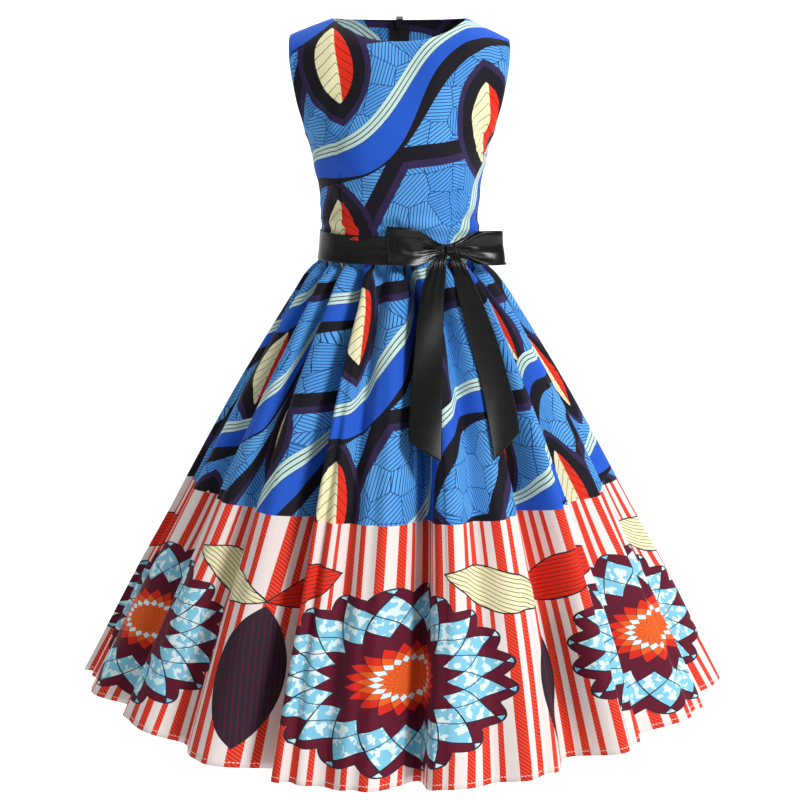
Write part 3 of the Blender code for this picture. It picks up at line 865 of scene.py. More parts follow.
    def material(self) -> Material:
        """Makes the material.

        Returns:
            The material, which reads the UV map called cloth.
        """
        material, tree, shader = self.start()
        cloth = FlatCloth(tree)
        paint = Paint(tree, self.dyes.sky)
        for layer in (self.hatched_ground, self.stems, self.framed_leaves, self.waves):
            layer(cloth, paint)
        if self.border_top:
            border = Paint(tree, self.dyes.border_white)
            for layer in (self.stripes, self.flowers, self.paired_leaves):
                layer(cloth, border)
            paint.lay(cloth.v.under(self.border_top), border.socket)
        if self.hem_stitch:
            row = cloth.v.between(self.hem_stitch, self.hem_stitch + self.stitch_height)
            paint.lay(row * cloth.u.lines(self.stitch_pitch, 0.62), self.dyes.border_white)
        tree.links.new(paint.socket, shader.inputs["Base Color"])
        shader.inputs["Sheen Weight"].default_value = 0.02
        shader.inputs["Sheen Roughness"].default_value = 0.5
        thread = cloth.u.waves(self.thread_pitch) * cloth.v.waves(self.thread_pitch)
        self.raise_by(shader, thread * 0.35 + noise(tree, cloth.place, 260.0, 4.0), 0.35)
        return material


@dataclass(frozen=True)
class SatinRibbon(Finish):
    """Glossy black satin ribbon with fine ribs across it."""

    specular: float = 0.30
    shade: Colour = (0.0030, 0.0028, 0.0034)
    rib_pitch: float = 0.0006

    def material(self) -> Material:
        """Makes the material.

        Returns:
            The material, which reads the UV map called cloth.
        """
        material, tree, shader = self.start()
        cloth = FlatCloth(tree)
        soft = noise(tree, cloth.place, 60.0)
        self.mottle(shader, soft, self.shade, 1.48, 0.05, 0.025)
        self.raise_by(shader, cloth.u.waves(self.rib_pitch) * 0.3 + soft * 0.3, 0.10)
        return material


@dataclass(frozen=True)
class Enamel(Finish):
    """Dark enamelled metal or nylon of the zip, with a little wear in its gloss."""

    specular: float = 0.18
    shade: Colour = (0.010, 0.009, 0.013)

    def material(self) -> Material:
        """Makes the material.

        Returns:
            The material, which reads Object coordinates.
        """
        material, tree, shader = self.start()
        place = tree.nodes.new("ShaderNodeTexCoord").outputs["Object"]
        soft = noise(tree, place, 900.0)
        self.mottle(shader, soft, self.shade, 1.84, 0.25, 0.12)
        self.raise_by(shader, soft, 0.3)
        return material


def placed(name: str, shape: Shape, material: Material) -> Object:
    """Turns a bmesh into an object of the scene.

    Args:
        name: Its name.
        shape: Its mesh, which is freed.
        material: What it is made of.

    Returns:
        The object.
    """
    mesh = bpy.data.meshes.new(name)
    shape.to_mesh(mesh)
    shape.free()
    mesh.materials.append(material)
    mesh.shade_smooth()
    thing = bpy.data.objects.new(name, mesh)
    bpy.context.scene.collection.objects.link(thing)
    return thing


@dataclass
class ClothSheet:
    """A piece of cloth laid out as a grid of points and thickened into a thin wall."""

    name: str
    points: Array
    cloth: Array
    material: Material
    slot: str
    wall: float = 0.0010
    edge: Edge = Edge.INWARD
    loop: bool = False

    def make(self) -> Object:
        """Makes the piece.

        Returns:
            The piece, with its UV map called cloth in metres.
        """
        rows, columns = self.points.shape[:2]
        sheet = bmesh.new()
        bmesh.ops.create_grid(sheet, x_segments=columns - 1, y_segments=rows - 1, size=1.0)
        layer = sheet.loops.layers.uv.new("cloth")
        places = {}
        for vert in sheet.verts:
            spot = round((vert.co.y + 1) / 2 * (rows - 1)), round((vert.co.x + 1) / 2 * (columns - 1))
            places[vert] = self.cloth[spot]
            vert.co = self.points[spot]
        for face in sheet.faces:
            for corner in face.loops:
                corner[layer].uv = places[corner.vert]
        if self.loop:
            bmesh.ops.remove_doubles(sheet, verts=sheet.verts, dist=1e-6)
        return Piece(self.name, self.material, self.slot).finish(sheet, self.wall, self.edge)


@dataclass(frozen=True)
class Piece:
    """What every piece of the dress needs: its name, its finish and what it rides on."""

    name: str
    material: Material
    slot: str

    def finish(self, shape: Shape, wall: float = 0.0, edge: Edge = Edge.INWARD) -> Object:
        """Turns a bmesh into a piece of the dress.

        Args:
            shape: The piece's mesh, which is freed.
            wall: Thickness of its wall, or 0 if it is solid.
            edge: Which side of the mesh the wall is on.

        Returns:
            The piece, riding on the dress.
        """
        piece = placed(self.name, shape, self.material)
        if wall:
            solidify = piece.modifiers.new("wall", "SOLIDIFY")
            solidify.thickness = wall
            solidify.offset = edge.value
        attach(piece, BODY)
        log.info("%s: %d faces", self.name, len(piece.data.polygons))
        return piece


def laid_flat(points: Array, middle: int) -> Array:
    """Works out where a panel's points lay on the flat cloth.

    Args:
        points: The panel's rows of points, from its foot up.
        middle: The column that stays straight.

    Returns:
        Metres across and up for each point.
    """
    up, across = (
        np.cumsum(np.linalg.norm(np.diff(points, axis=axis, prepend=points.take([0], axis=axis)), axis=2), axis=axis)
        for axis in (0, 1)
    )
    return np.stack([across - across[:, middle : middle + 1], up], axis=-1)


def beside_seams(distance: Array, roll: float, fade: float) -> tuple[Array, Array]:
    """How near a panel's points are to its side seams.

    Args:
        distance: Metres across and up for each point, from the panel's left edge.
        roll: Width of the cloth's roll into a seam.
        fade: Width of the strip in which the folds die away.

    Returns:
        How much of the roll is at each point, and how much of the folds.
    """
    left, right = distance[..., 0], distance[:, -1:, 0] - distance[..., 0]
    return ridge(left, roll) + ridge(right, roll), eased(left / fade) * eased(right / fade)


def normals_of(points: Array) -> Array:
    """The outward directions of a grid of points.

    Args:
        points: The grid, whose columns run anticlockwise seen from above.

    Returns:
        A direction for each point.
    """
    normal = np.cross(np.gradient(points, axis=1), np.gradient(points, axis=0))
    return normal / np.maximum(np.linalg.norm(normal, axis=-1, keepdims=True), 1e-12)


@dataclass(frozen=True)
class Dart:
    """A stitched dart, as a line on the bodice seen from the front or the back."""

    side: Side
    foot: tuple[float, float]
    tip: tuple[float, float]
    depth: float = 0.0024
    width: float = 0.0017
    pucker: float = 0.0010
    tip_fade: float = 0.012
    foot_fade: float = 0.004
    pucker_size: tuple[float, float] = (0.014, 0.010)

    def sink(self, x: Array, height: Array) -> Array:
        """How far the dart draws the cloth in.

        Args:
            x: Distance from the middle.
            height: Height of each point.

        Returns:
            The distance, which is 0 away from the dart.
        """
        start, end = np.array(self.foot), np.array(self.tip)
        line = end - start
        length = float(np.linalg.norm(line))
        line = line / length
        along = (x - start[0]) * line[0] + (height - start[1]) * line[1]
        apart = (x - start[0]) * line[1] - (height - start[1]) * line[0]
        on_line = eased((length - along) / self.tip_fade) * eased((along + self.foot_fade) / self.foot_fade)
        beyond = ridge(along - length, self.pucker_size[0]) * ridge(apart, self.pucker_size[1])
        return self.depth * ridge(apart, self.width) * on_line - self.pucker * beyond


@dataclass
class Bodice:
    """The fitted bodice: a front cut in one and two backs that meet at the zip."""

    form: DressForm
    print_material: Material
    rows: int = 150
    front_columns: int = 200
    back_columns: int = 110
    top_crowding: float = 1.6
    seam_roll: float = 0.0009
    tape_reach: float = 0.0165
    # widths of the roll at the waist, at the top edge and at the side seams
    roll_widths: tuple[float, float, float] = (0.0016, 0.0013, 0.0014)
    top_roll: float = 0.7
    side_fade: float = 0.01
    top_fade: float = 0.012
    print_start: float = 0.345
    darts: tuple[Dart, ...] = (
        Dart(Side.FRONT, (-0.0775, -0.3360), (-0.0845, -0.2040)),
        Dart(Side.FRONT, (0.0795, -0.3360), (0.0845, -0.1960)),
        Dart(Side.FRONT, (-0.1290, -0.1960), (-0.1010, -0.1780)),
        Dart(Side.FRONT, (0.1290, -0.1960), (0.1010, -0.1780)),
        Dart(Side.BACK, (-0.0620, -0.3360), (-0.0600, -0.2100)),
        Dart(Side.BACK, (0.0620, -0.3360), (0.0600, -0.2100)),
    )

    def up_shares(self) -> Array:
        """Shares from the waist to the top edge, closer together where the shoulder turns over."""
        return 1 - (1 - np.linspace(0.0, 1.0, self.rows)) ** self.top_crowding

    def drapes(self, side: Side, points: Array) -> Array:
        """Soft pulls in the cloth: over the sash, from the armholes and across the bust.

        Args:
            side: The front or the back.
            points: The panel's points.

        Returns:
            How far each point lies in from the smooth form.
        """
        x, height = points[..., 0], points[..., 2]
        away, sides = np.abs(x), np.sign(x)
        pulls = 0.0021 * np.sin(height * 210 + away * 26 + sides * 1.3) * ridge(height + 0.3, 0.03)
        reach = away * 0.92 + (height + 0.16) * 0.38
        armhole = 0.0024 * np.sin(reach * 190) * ridge(height + 0.15, 0.05) * eased((away - 0.062) / 0.04)
        hang = 0.0026 * np.sin(x * 72 + 0.8) * ridge(height + 0.085, 0.045)
        slanting = away * 0.55 - height * 0.84
        strain = 0.0016 * np.sin(slanting * 150 + sides) * ridge(height + 0.255, 0.045) * eased(away / 0.05)
        sink = pulls + armhole + hang + strain
        if side is Side.BACK:
            sink = sink * eased((away - self.tape_reach) / 0.02)
        for dart in self.darts:
            if dart.side is side:
                sink = sink + dart.sink(x, height)
        return sink

    def panel(self, name: str, side: Side, across: Array, shift: float) -> Object:
        """Makes one panel.

        Args:
            name: Its node, which it stands for.
            side: The front or the back.
            across: The places of its columns, from -1 to 1.
            shift: How far its centre edge stands from the centre.

        Returns:
            The panel.
        """
        places, ups = np.meshgrid(across, self.up_shares())
        points = self.form.bodice(side, places, ups)
        outward = normals_of(points)
        distance = laid_flat(points, 0)
        low, high = distance[..., 1], distance[-1:, :, 1] - distance[..., 1]
        at_foot, at_top, at_side = self.roll_widths
        roll, inside = beside_seams(distance, at_side, self.side_fade)
        roll = roll + ridge(low, at_foot) + ridge(high, at_top) * self.top_roll
        sink = self.drapes(side, points) * inside * eased(high / self.top_fade)
        points = points - outward * (sink + roll * self.seam_roll)[..., None]
        points[..., 0] += shift * ridge(places, 1e-6)
        points[..., 1] = side.value * np.maximum(side.value * points[..., 1], self.form.seam_gap / 2)
        cloth = laid_flat(points, int(np.argmin(np.abs(across))))
        cloth[..., 1] += self.print_start
        piece = ClothSheet(name + "_cloth", points, cloth, self.print_material, "printed_cotton").make()
        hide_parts(name)
        return piece

    def make(self) -> list[Object]:
        """Makes the three panels.

        Returns:
            The panels.
        """
        even = np.linspace(-1.0, 1.0, self.front_columns)
        back = np.linspace(0.0, 1.0, self.back_columns)
        half_gap = self.form.seam_gap / 2
        return [
            self.panel("bodice_front", Side.FRONT, even, 0.0),
            self.panel("bodice_back_left", Side.BACK, -back, -half_gap),
            self.panel("bodice_back_right", Side.BACK, back[::-1], half_gap),
        ]


@dataclass
class Skirt:
    """The gathered skirt: a front panel and two back panels."""

    form: DressForm
    print_material: Material
    rows: int = 108
    columns_in_fold: int = 42
    gather_depth: float = 0.0036
    gather_fade: float = 0.060
    tuck_depth: float = 0.0190
    crease_depth: float = 0.003
    ripple_depth: float = 0.0012
    # fold, how far its valley's foot lies under the crest at its right, as a share of its depth
    leans: tuple[Row, ...] = (
        (3, 0.35), (5, 0.4), (7, 0.2), (2, -0.25), (8, -0.3), (11, 0.4), (13, -0.35), (16, 0.3), (18, -0.3),
    )
    seam_roll: float = 0.0010
    roll_width: float = 0.0016
    side_fade: float = 0.012
    # angle, spread of the angle and rise of the hem there
    hem_rises: tuple[Row, ...] = (
        (-60.0, 18.0, 0.018), (-15.0, 24.0, -0.007), (54.0, 17.0, 0.006), (14.0, 20.0, -0.003),
    )
    waist_crowding: float = 1.45
    front_centre: float = 4.5
    # how much of its straight panel the flared panel keeps
    area_share: float = 0.72
    # fold, how far its valley is deepened, how wide that is in folds
    deep_valleys: tuple[Row, ...] = (
        (1.0, 0.006, 0.22), (2.0, 0.007, 0.2), (3.0, 0.032, 0.29), (4.0, 0.007, 0.2), (5.0, 0.032, 0.25),
        (6.0, 0.008, 0.2), (7.0, 0.03, 0.29), (8.0, 0.007, 0.22), (9.0, 0.006, 0.2), (11.0, 0.02, 0.26),
        (13.0, 0.028, 0.27), (16.0, 0.028, 0.27), (18.0, 0.02, 0.26),
    )

    def down_shares(self) -> Array:
        """Shares from the hem up to the waist, closer together near the waist."""
        return np.linspace(1.0, 0.0, self.rows) ** self.waist_crowding

    def small_folds(self, fold: Array, down: Array) -> Array:
        """Fine gathers below the sash and soft creases between the large folds.

        Args:
            fold: Place round the skirt, in fold valleys.
            down: 0 at the waist to 1 at the hem.

        Returns:
            How far each point lies in from the large folds.
        """
        turn = fold * (TURN / self.form.folds)
        warp = 0.22 * np.sin(3 * turn + 0.7) + 0.16 * np.sin(7 * turn + 2.1) + 0.10 * np.sin(12 * turn + 0.4)
        slant = down * self.form.skirt_length()
        start = eased(slant / 0.006)
        own = scattered(np.round(fold) % self.form.folds, 3.0)
        gather = self.gather_depth * tuck(fold * 3 + 2 * warp, 1.4) * np.exp(-slant / self.gather_fade)
        fade = np.exp(-slant / (0.12 + 0.18 * own)) * eased(slant / 0.030)
        large = self.tuck_depth * (0.6 + 0.6 * own) * tuck(fold + 0.5 * warp * np.exp(-slant / 0.2), 1.2) * fade
        deep = np.zeros_like(fold + down)
        for place, depth, width in self.deep_valleys:
            away = (fold - place + 10) % self.form.folds - 10
            grows = eased(down / 0.10) * (1 - 0.45 * eased((down - 0.55) / 0.45))
            deep = deep + depth * ridge(away - 0.05 * np.sin(down * 7 + place), width * (1 - 0.2 * down)) * grows
        crest = np.floor(fold)
        own = scattered(crest % self.form.folds, 5.0)
        lane = fold - crest - (0.36 + 0.28 * own)
        crease = self.crease_depth * (1 + 4 * own) * ridge(lane, 0.10) * eased((down - 0.08) / 0.5)
        ripple = self.ripple_depth * (1 + np.sin(fold * 11.0 + down * 9.0 + own)) * eased((down - 0.3) / 0.5)
        return start * gather + large + deep + crease + ripple

    def hem_rise(self, fold: Array, down: Array) -> Array:
        """How much higher than its solid the skirt hangs towards the hem.

        Args:
            fold: Place round the skirt, in fold valleys.
            down: 0 at the waist to 1 at the hem.

        Returns:
            The rise of each point.
        """
        angle = self.form.fold_angle(fold, down)
        return sum(rise * ridge(angle - middle, spread) for middle, spread, rise in self.hem_rises) * down**3

    def panel(self, name: str, start: float, end: float) -> Object:
        """Makes one panel.

        Args:
            name: Its node, which it stands for.
            start: Fold at its left edge, seen from outside.
            end: Fold at its right edge.

        Returns:
            The panel.
        """
        folds = np.linspace(start, end, int(round((end - start) * self.columns_in_fold)) + 1)
        places, downs = np.meshgrid(folds, self.down_shares())
        points = self.form.skirt(places, downs)
        at_seam, inside = beside_seams(laid_flat(points, 0), self.roll_width, self.side_fade)
        sink = self.small_folds(places, downs) * inside + at_seam * self.seam_roll
        points = self.form.skirt(places, downs, sink)
        points[..., 2] += self.hem_rise(places, downs)
        depth = self.form.fold_depth(places, downs) + sink
        lean = np.zeros_like(places)
        for place, share in self.leans:
            lean = np.where(np.round(places) % self.form.folds == place, share, lean)
        turn = lean * depth * eased(downs / 0.12) / (np.hypot(points[..., 0], points[..., 1]) + depth)
        x, y, c, s = points[..., 0].copy(), points[..., 1].copy(), np.cos(turn), np.sin(turn)
        points[..., 0], points[..., 1] = x * c - y * s, x * s + y * c
        for column, step in ((0, 1), (-1, -2)):
            along = points[:, step] - points[:, column]
            along /= np.linalg.norm(along, axis=1, keepdims=True)
            points[:, column] += along * (self.form.seam_gap / 2)
        cloth = self.cloth_map(places, downs)
        piece = ClothSheet(name + "_cloth", points, cloth, self.print_material, "printed_skirt").make()
        flat = (round(float(np.ptp(cloth[0, :, 0])), 4), round(float(self.form.skirt_length()), 4))
        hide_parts(name)
        return piece

    def cloth_map(self, places: Array, downs: Array) -> Array:
        """Where the panel's points lie on the flat cloth: true to size on the crests, taken up in the valleys.

        Args:
            places: Fold of each point.
            downs: Share from the waist to the hem of each point.

        Returns:
            Metres across and up for each point.
        """
        dense = np.linspace(-2.0, self.form.folds + 2.0, (self.form.folds + 4) * 60 + 1)
        centre = int(np.argmin(np.abs(dense - self.front_centre)))
        across = np.empty(places.shape)
        hem = laid_flat(self.form.skirt(dense[None, :], np.ones((2, 1))), centre)[0, :, 0]
        for j, fold in enumerate(places):
            row = laid_flat(self.form.skirt(dense[None, :], np.full((2, 1), downs[j, 0])), centre)[0, :, 0]
            crest = np.floor(fold) + 0.5
            away = np.sign(fold - crest)
            valley = crest + away * 0.5
            here = np.interp(fold, dense, row) - np.interp(crest, dense, row)
            whole = np.interp(valley, dense, hem) - np.interp(crest, dense, hem)
            shown = np.interp(valley, dense, row) - np.interp(crest, dense, row)
            taken = eased((2 * np.abs(fold - crest) - 0.45) / 0.55)
            across[j] = np.interp(crest, dense, hem) + here + (whole - shown) * taken
        return np.stack([across, (1 - downs) * self.form.skirt_length()], axis=-1)

    def make(self) -> list[Object]:
        """Makes the three panels.

        Returns:
            The panels.
        """
        form = self.form
        return [
            self.panel("skirt_front", form.side_seam_left, form.side_seam_right),
            self.panel("skirt_back_right", form.side_seam_right, form.centre_back),
            self.panel("skirt_back_left", form.centre_back, form.side_seam_left + form.folds),
        ]


@dataclass
class Sash:
    """The satin ribbon round the waist, with its knot, loops and tails."""

    form: DressForm
    satin: Material
    belt_top: float = -0.3025
    belt_bottom: float = -0.3435
    belt_pinch: float = 0.62
    pinch_angle: float = 18.0
    lift: float = 0.0009
    ribbon: float = 0.0010
    wall: float = 0.0007
    knot_angle: float = 34.5
    knot_height: float = -0.3215
    knot_size: tuple[float, float, float] = (0.0145, 0.0120, 0.0135)
    gathered_width: float = 0.013
    end_rounding: tuple[float, float] = (0.0010, 0.0030)
    spread_rate: float = 1.7
    belt_radius: float = 0.108
    layers_apart: float = 0.0016
    tail_lift: float = 0.0023
    # name, side of the knot, length, depth, width at the far end, rise and flare of the far end
    loops: tuple[tuple[str, int, float, float, float, float, float], ...] = (
        ("bow_loop_left", -1, 0.0745, 0.024, 0.052, 0.0077, 0.000),
        ("bow_loop_right", 1, 0.0690, 0.020, 0.048, -0.0026, 0.026),
    )
    # height, x of the middle, width
    tail_left: tuple[Row, ...] = (
        (-0.62, 0.0325, 0.044), (-0.56, 0.0347, 0.0438), (-0.5, 0.0374, 0.0425), (-0.4555, 0.0399, 0.04),
        (-0.4136, 0.0426, 0.037), (-0.375, 0.0466, 0.032), (-0.356, 0.052, 0.026), (-0.34, 0.0555, 0.019),
        (-0.329, 0.061, 0.011),
    )
    tail_right: tuple[Row, ...] = (
        (-0.62, 0.152, 0.035), (-0.58, 0.1475, 0.036), (-0.5307, 0.1393, 0.039), (-0.4605, 0.1215, 0.0395),
        (-0.4028, 0.1031, 0.0335), (-0.3777, 0.0945, 0.0285), (-0.3596, 0.0888, 0.0225), (-0.3472, 0.084, 0.0184),
        (-0.329, 0.0755, 0.012),
    )
    tail_end: float = -0.5790
    tail_hang: float = 0.0060
    hang_share: float = 0.20

    @property
    def knot_lift(self) -> float:
        """Distance from the dress to the middle of the knot."""
        return self.lift + self.ribbon + 2 * self.form.seam_gap + self.knot_size[1] / 2

    def ribbon_piece(self, node: str, points: Array, cloth: Array, edge: Edge, loop: bool = False) -> Object:
        """Makes a piece of ribbon in place of its node.

        Args:
            node: The node.
            points: The ribbon's grid of points.
            cloth: Where each point lies on the flat ribbon.
            edge: Which side of the grid the wall is on.
            loop: Whether its ends meet in a ring.

        Returns:
            The piece.
        """
        sheet = ClothSheet(node + "_ribbon", points, cloth, self.satin, "black_satin", self.wall, edge, loop)
        piece = sheet.make()
        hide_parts(node)
        return piece

    def belt(self) -> Object:
        """Makes the ribbon round the waist.

        Returns:
            The ribbon, a closed ring.
        """
        turns, ups = np.meshgrid(np.linspace(-180.0, 180.0, 481), np.linspace(0.0, 1.0, 25))
        near_knot = ridge(turns - self.knot_angle, self.pinch_angle)
        pinched = (self.belt_top - self.belt_bottom) / 2 * (1 - self.belt_pinch * near_knot)
        height = (self.belt_top + self.belt_bottom) / 2 + pinched * (2 * ups - 1)
        a = np.radians(turns)
        crease = 0.0009 * np.sin(ups * 17 + 0.6 * np.sin(6 * a)) + 0.0005 * np.sin(ups * 31 + 2.0 * np.sin(4 * a))
        soft = 0.0003 * np.sin(7 * a + 1.0) + 0.0002 * np.sin(13 * a + ups * 2.0)
        spread = ridge(turns - self.knot_angle, 2.0 * self.pinch_angle)
        lift = self.lift + 0.0006 + (crease * spread + soft) * np.sin(ups * math.pi)
        points = self.form.around(turns, height, lift)
        cloth = np.stack([a * 0.107, ups * 0.04], axis=-1)
        piece = self.ribbon_piece("sash_belt", points, cloth, Edge.OUTWARD, True)
        return piece

    def make(self) -> list[Object]:
        """Makes the sash and its bow.

        Returns:
            The pieces.
        """
        pieces = [self.belt(), self.knot()]
        pieces += [self.loop(*row) for row in self.loops]
        pieces.append(self.tail("bow_tail_left", self.tail_left, -0.60))
        pieces.append(self.tail("bow_tail_right", self.tail_right, 0.82))
        return pieces

    def knot(self) -> Object:
        """Makes the knot: a rounded wrap of ribbon with folds drawn round it.

        Returns:
            The knot.
        """
        half, front, _ = self.form.section(self.knot_height)
        turn = math.radians(self.knot_angle)
        out = Vector((math.sin(turn) / float(half), -math.cos(turn) / float(front), 0.0)).normalized()
        up = Vector((0.0, 0.0, 1.0))
        centre = Vector(self.form.around(self.knot_angle, self.knot_height, self.knot_lift))
        shape = bmesh.new()
        bmesh.ops.create_cube(shape, size=1.0)
        bmesh.ops.subdivide_edges(shape, edges=shape.edges[:], cuts=19, use_grid_fill=True)
        wide, deep, tall = self.knot_size
        for vert in shape.verts:
            q = vert.co * 2
            q /= (abs(q.x) ** 4 + abs(q.y) ** 4 + abs(q.z) ** 4) ** 0.25
            folds = 1 - 0.07 * (0.5 + 0.5 * math.sin(q.x * 8.5 + q.z * 1.6 + 0.6))
            folds -= 0.05 * (0.5 + 0.5 * math.sin(q.x * 17.0 - q.z * 2.0))
            vert.co = Vector((q.x * wide / 2, q.y * deep / 2 * folds, q.z * tall / 2 * folds))
        turned = Matrix((up.cross(out), -out, up)).transposed().to_4x4()
        bmesh.ops.transform(shape, matrix=Matrix.Translation(centre) @ turned, verts=shape.verts)
        layer = shape.loops.layers.uv.new("cloth")
        for face in shape.faces:
            for corner in face.loops:
                corner[layer].uv = (corner.vert.co.z, corner.vert.co.x)
        piece = Piece("bow_knot_wrap", self.satin, "black_satin").finish(shape)
        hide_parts("bow_knot")
        return piece

    def loop(
        self, name: str, side: int, length: float, depth: float, far_width: float, rise: float, flare: float
    ) -> Object:
        """Makes one loop of the bow.

        Args:
            name: Its node, which it stands for.
            side: -1 for the left of the knot, 1 for the right.
            length: From the knot to the far end.
            depth: How far the loop stands open.
            far_width: The ribbon's spread at the far end.
            rise: How far the far end stands above the knot.
            flare: How far the far end stands out from the body.

        Returns:
            The loop.
        """
        paths, across = np.meshgrid(np.linspace(0.0, 1.0, 121), np.linspace(-1.0, 1.0, 33))
        turned = TURN * paths
        reach = (1 - np.cos(turned)) / 2
        outer = paths > 0.5
        bulge = -np.sin(turned) * reach * depth * np.where(outer, 1.0, 0.2)
        apart = -np.cos(turned / 2) * self.layers_apart
        width = self.gathered_width + (far_width - self.gathered_width) * eased(reach * self.spread_rate)
        gathers = np.sin(across * 8.0 + side * 0.7) * 0.0016 + np.sin(across * 15.0 + 1.0) * 0.0008
        gathers = gathers * (1 - reach) ** 1.5 * eased(reach * 8)
        swell = 0.0018 * np.sin(across * 4.0 + reach * 5.0 + side) * reach * (1 - reach**4) * outer
        hollow = ridge(across + 0.35 - 0.55 * reach, 0.50 + 0.25 * reach)
        swell = swell - 0.0085 * hollow * eased(reach * 2.2) * eased((0.86 - reach) * 3.0) * outer
        height = self.knot_height + rise * reach - side * across * width / 2
        rounding = self.end_rounding[max(side, 0)] * (across - 0.35) ** 2 * reach**3
        travel = self.knot_size[0] / 2 + length * reach - rounding
        angle = self.knot_angle + side * np.degrees(travel / self.belt_radius)
        lift = self.knot_lift + apart + bulge + flare * reach**1.5 + (gathers + swell) * np.where(outer, 1.0, 0.25)
        points = self.form.around(angle, np.minimum(height, self.knot_height), lift)
        points[..., 2] = height
        piece = self.ribbon_piece(name, points, laid_flat(points, 0), Edge.INWARD)
        round(2.1 * length, 4)
        return piece

    def tail(self, name: str, table: tuple[Row, ...], slant: float) -> Object:
        """Makes one tail of the bow.

        Args:
            name: Its node, which it stands for.
            table: Its height, x of its middle and width at each row, from its end up.
            slant: Rise of its cut end per metre to the right.

        Returns:
            The tail.
        """
        start = table[-1][0]
        across, downs = np.meshgrid(np.linspace(-1.0, 1.0, 31), np.linspace(1.0, 0.0, 121) ** 1.3)
        level = start + (self.tail_end - start) * downs
        offset = across * SmoothCurve(table, 2).at(level) / 2
        height = level + slant * offset * eased(downs * 2.5 - 1.5)
        x = SmoothCurve(table, 1).at(level) + offset
        sections = [self.form.section(height + step) for step in np.linspace(-0.012, 0.012, 7)]
        half, front, _ = np.mean(sections, axis=0)
        wave = 0.0012 * (1 + np.sin(downs * 9.0 + across * 1.4 + slant)) * eased(downs * 3)
        gather = 0.0008 * np.sin(across * 9.0) * (1 - eased(downs * 3.0))
        lift = self.tail_lift + wave + gather + 0.0004 + self.tail_hang * (1 - eased(downs / self.hang_share))
        share = x / (half + lift)
        points = np.stack([x, -(front + lift) * np.sqrt(1 - share**2), height], axis=-1)
        cloth = np.stack([across * 0.021, downs * 0.29], axis=-1)
        piece = self.ribbon_piece(name, points, cloth, Edge.OUTWARD)
        return piece


@dataclass
class Zip:
    """The back zip: its tapes, its coil of teeth, and the finish of its slider and pull tab."""

    form: DressForm
    tape: Material
    enamel: Material
    top: float = -0.0200
    tape_face: float = 0.0027
    pitch: float = 0.00135
    tooth: tuple[float, float, float] = (0.0021, 0.0007, 0.0009)
    tooth_taper: float = 0.7
    tooth_reach: float = 0.36
    skirt_end: float = 0.19

    def seam_line(self) -> Array:
        """The centre back seam on the outside of the dress.

        Returns:
            Its points, from the slider down to the end of the zip.
        """
        heights = np.linspace(self.top, self.form.waist_height + self.form.seam_gap, 120)
        depths = self.form.torso_depth(Side.BACK, np.zeros_like(heights), heights)
        bodice = np.stack([np.zeros_like(heights), depths, heights], axis=-1)
        downs = np.linspace(0.0, self.skirt_end, 60)
        skirt = self.form.skirt(np.full_like(downs, self.form.centre_back), downs)
        skirt[:, 0] = 0.0
        return np.concatenate([bodice, skirt])

    def coil(self) -> Object:
        """Makes the coil's teeth: small round-shouldered bars that alternate from each tape.

        Returns:
            The coil.
        """
        line = self.seam_line()
        travelled = np.concatenate([[0.0], np.cumsum(np.linalg.norm(np.diff(line, axis=0), axis=1))])
        down = np.gradient(line, travelled, axis=0)
        shape = bmesh.new()
        for i, along in enumerate(np.arange(0.0, travelled[-1], self.pitch / 2)):
            spot, course = (Vector([np.interp(along, travelled, axis) for axis in row.T]) for row in (line, down))
            course.normalize()
            inward = Vector((0.0, course.z, -course.y)).normalized()
            side = 1 if i % 2 else -1
            made = bmesh.ops.create_cube(shape, size=1.0)["verts"]
            for vert in made:
                narrow = self.tooth_taper if vert.co.y > 0 else 1.0
                vert.co = Vector((vert.co.x * narrow, vert.co.y, vert.co.z * narrow))
                vert.co = Vector(a * b for a, b in zip(vert.co, self.tooth))
                vert.co.x += side * self.tooth[0] * self.tooth_reach
            frame_of_tooth = Matrix((Vector((1.0, 0.0, 0.0)), inward, course)).transposed().to_4x4()
            centre = spot + inward * (self.tape_face + self.tooth[1] / 2)
            bmesh.ops.transform(shape, matrix=Matrix.Translation(centre) @ frame_of_tooth, verts=made)
        bmesh.ops.recalc_face_normals(shape, faces=shape.faces)
        return Piece("zip_coil", self.tape, "zip_tape").finish(shape)

    def make(self) -> list[Object]:
        """Dresses the zip's solids, and adds the coil between its tapes.

        Returns:
            The pieces that were added.
        """
        metal, woven = ("zip_slider", "zip_pull_tab"), ("zip_tape_left", "zip_tape_right")
        for node in metal + woven:
            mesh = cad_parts[node].data
            mesh.materials.clear()
            mesh.materials.append(self.enamel if node in metal else self.tape)
        return [self.coil()]


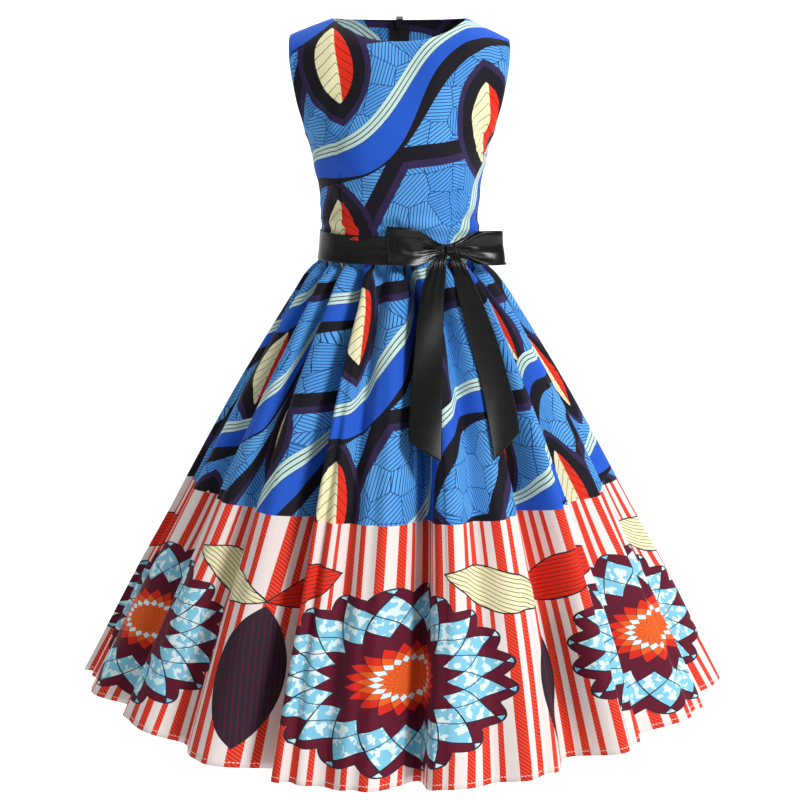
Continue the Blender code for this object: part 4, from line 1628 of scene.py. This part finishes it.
@dataclass(frozen=True)
class Studio:
    """The pale floor, the soft lights and the camera."""

    camera_place: tuple[float, float, float] = (0.0006, -3.11, -0.0128)
    camera_pitch: float = 9.86
    lens: float = 96.57
    sensor: float = 36.0
    floor_height: float = -1.42
    floor_half_width: float = 9.0
    floor_length: float = 16.0
    floor_start: float = -7.0
    bend_start: float = 4.0
    bend_length: float = 3.0
    bend_radius: float = 2.2
    wall_slope: float = 3.0
    paper_shade: float = 0.88
    paper_glow: float = 0.14
    world_strength: float = 0.26
    # name, place, target, width of its square, strength in watts
    lamps: tuple[tuple[str, Row, Row, float, float], ...] = (
        ("key", (2.8, -2.6, 1.9), (0.0, 0.0, -0.55), 1.0, 166.0),
        ("fill", (-2.2, -3.6, 0.6), (0.0, 0.0, -0.6), 2.0, 5.0),
        ("backdrop_light", (0.0, 1.6, 2.6), (0.0, 5.2, -1.2), 2.4, 250.0),
    )

    def floor(self) -> None:
        """Makes a pale floor that curves up into a backdrop."""
        shape = bmesh.new()
        bmesh.ops.create_grid(shape, x_segments=8, y_segments=60, size=1.0)
        for vert in shape.verts:
            along = (vert.co.y + 1) / 2 * self.floor_length + self.floor_start
            bent = max(along - self.bend_start, 0.0)
            turn = min(bent / self.bend_length, 1.0) * math.pi / 2
            y = min(along, self.bend_start) + self.bend_radius * math.sin(turn)
            rise = self.bend_radius * (1 - math.cos(turn)) + max(bent - self.bend_length, 0.0) * self.wall_slope
            vert.co = (vert.co.x * self.floor_half_width, y, self.floor_height + rise)
        material, _, shader = Finish("studio_paper", roughness=0.9).start()
        shader.inputs["Base Color"].default_value = (*[self.paper_shade] * 3, 1.0)
        shader.inputs["Emission Color"].default_value = (1.0, 1.0, 1.0, 1.0)
        shader.inputs["Emission Strength"].default_value = self.paper_glow
        placed("studio_floor", shape, material)

    def light(self, name: str, place: Sequence[float], target: Sequence[float], size: float, power: float) -> None:
        """Adds a soft light.

        Args:
            name: Its name.
            place: Where it stands.
            target: What it points at.
            size: Width of its square.
            power: Its strength in watts.
        """
        data = bpy.data.lights.new(name, "AREA")
        data.size = size
        data.energy = power
        lamp = bpy.data.objects.new(name, data)
        lamp.location = place
        lamp.rotation_euler = (Vector(target) - Vector(place)).to_track_quat("-Z", "Y").to_euler()
        bpy.context.scene.collection.objects.link(lamp)

    def make(self) -> None:
        """Sets up the floor, the lights, the world and the camera."""
        self.floor()
        for lamp in self.lamps:
            self.light(*lamp)
        scene = bpy.context.scene
        world = bpy.data.worlds.new("studio_world")
        world.use_nodes = True
        sky = world.node_tree.nodes["Background"]
        sky.inputs[0].default_value = (1.0, 1.0, 1.0, 1.0)
        sky.inputs[1].default_value = self.world_strength
        scene.world = world
        scene.view_settings.view_transform = "Standard"
        data = bpy.data.cameras.new("camera")
        data.lens = self.lens
        data.sensor_width = self.sensor
        camera = bpy.data.objects.new("camera", data)
        camera.location = self.camera_place
        camera.rotation_euler = (math.radians(90 - self.camera_pitch), 0.0, 0.0)
        scene.collection.objects.link(camera)
        scene.camera = camera


def main() -> None:
    """Builds the whole dress on the frame, piece by piece."""
    logging.basicConfig(level=logging.INFO, format="%(name)s: %(message)s")
    form = DressForm()
    Studio().make()
    bodice_print = PrintedCotton("bodice_print").material()
    skirt_print = PrintedCotton("skirt_print", border_top=0.346, hem_stitch=0.006).material()
    satin = SatinRibbon("satin_ribbon", roughness=0.27).material()
    tape = Enamel("zip_tape_weave", roughness=0.85).material()
    enamel = Enamel("zip_enamel", roughness=0.42).material()
    Bodice(form, bodice_print).make()
    Skirt(form, skirt_print).make()
    Sash(form, satin).make()
    Zip(form, tape, enamel).make()


if __name__ == "__main__":
    main()
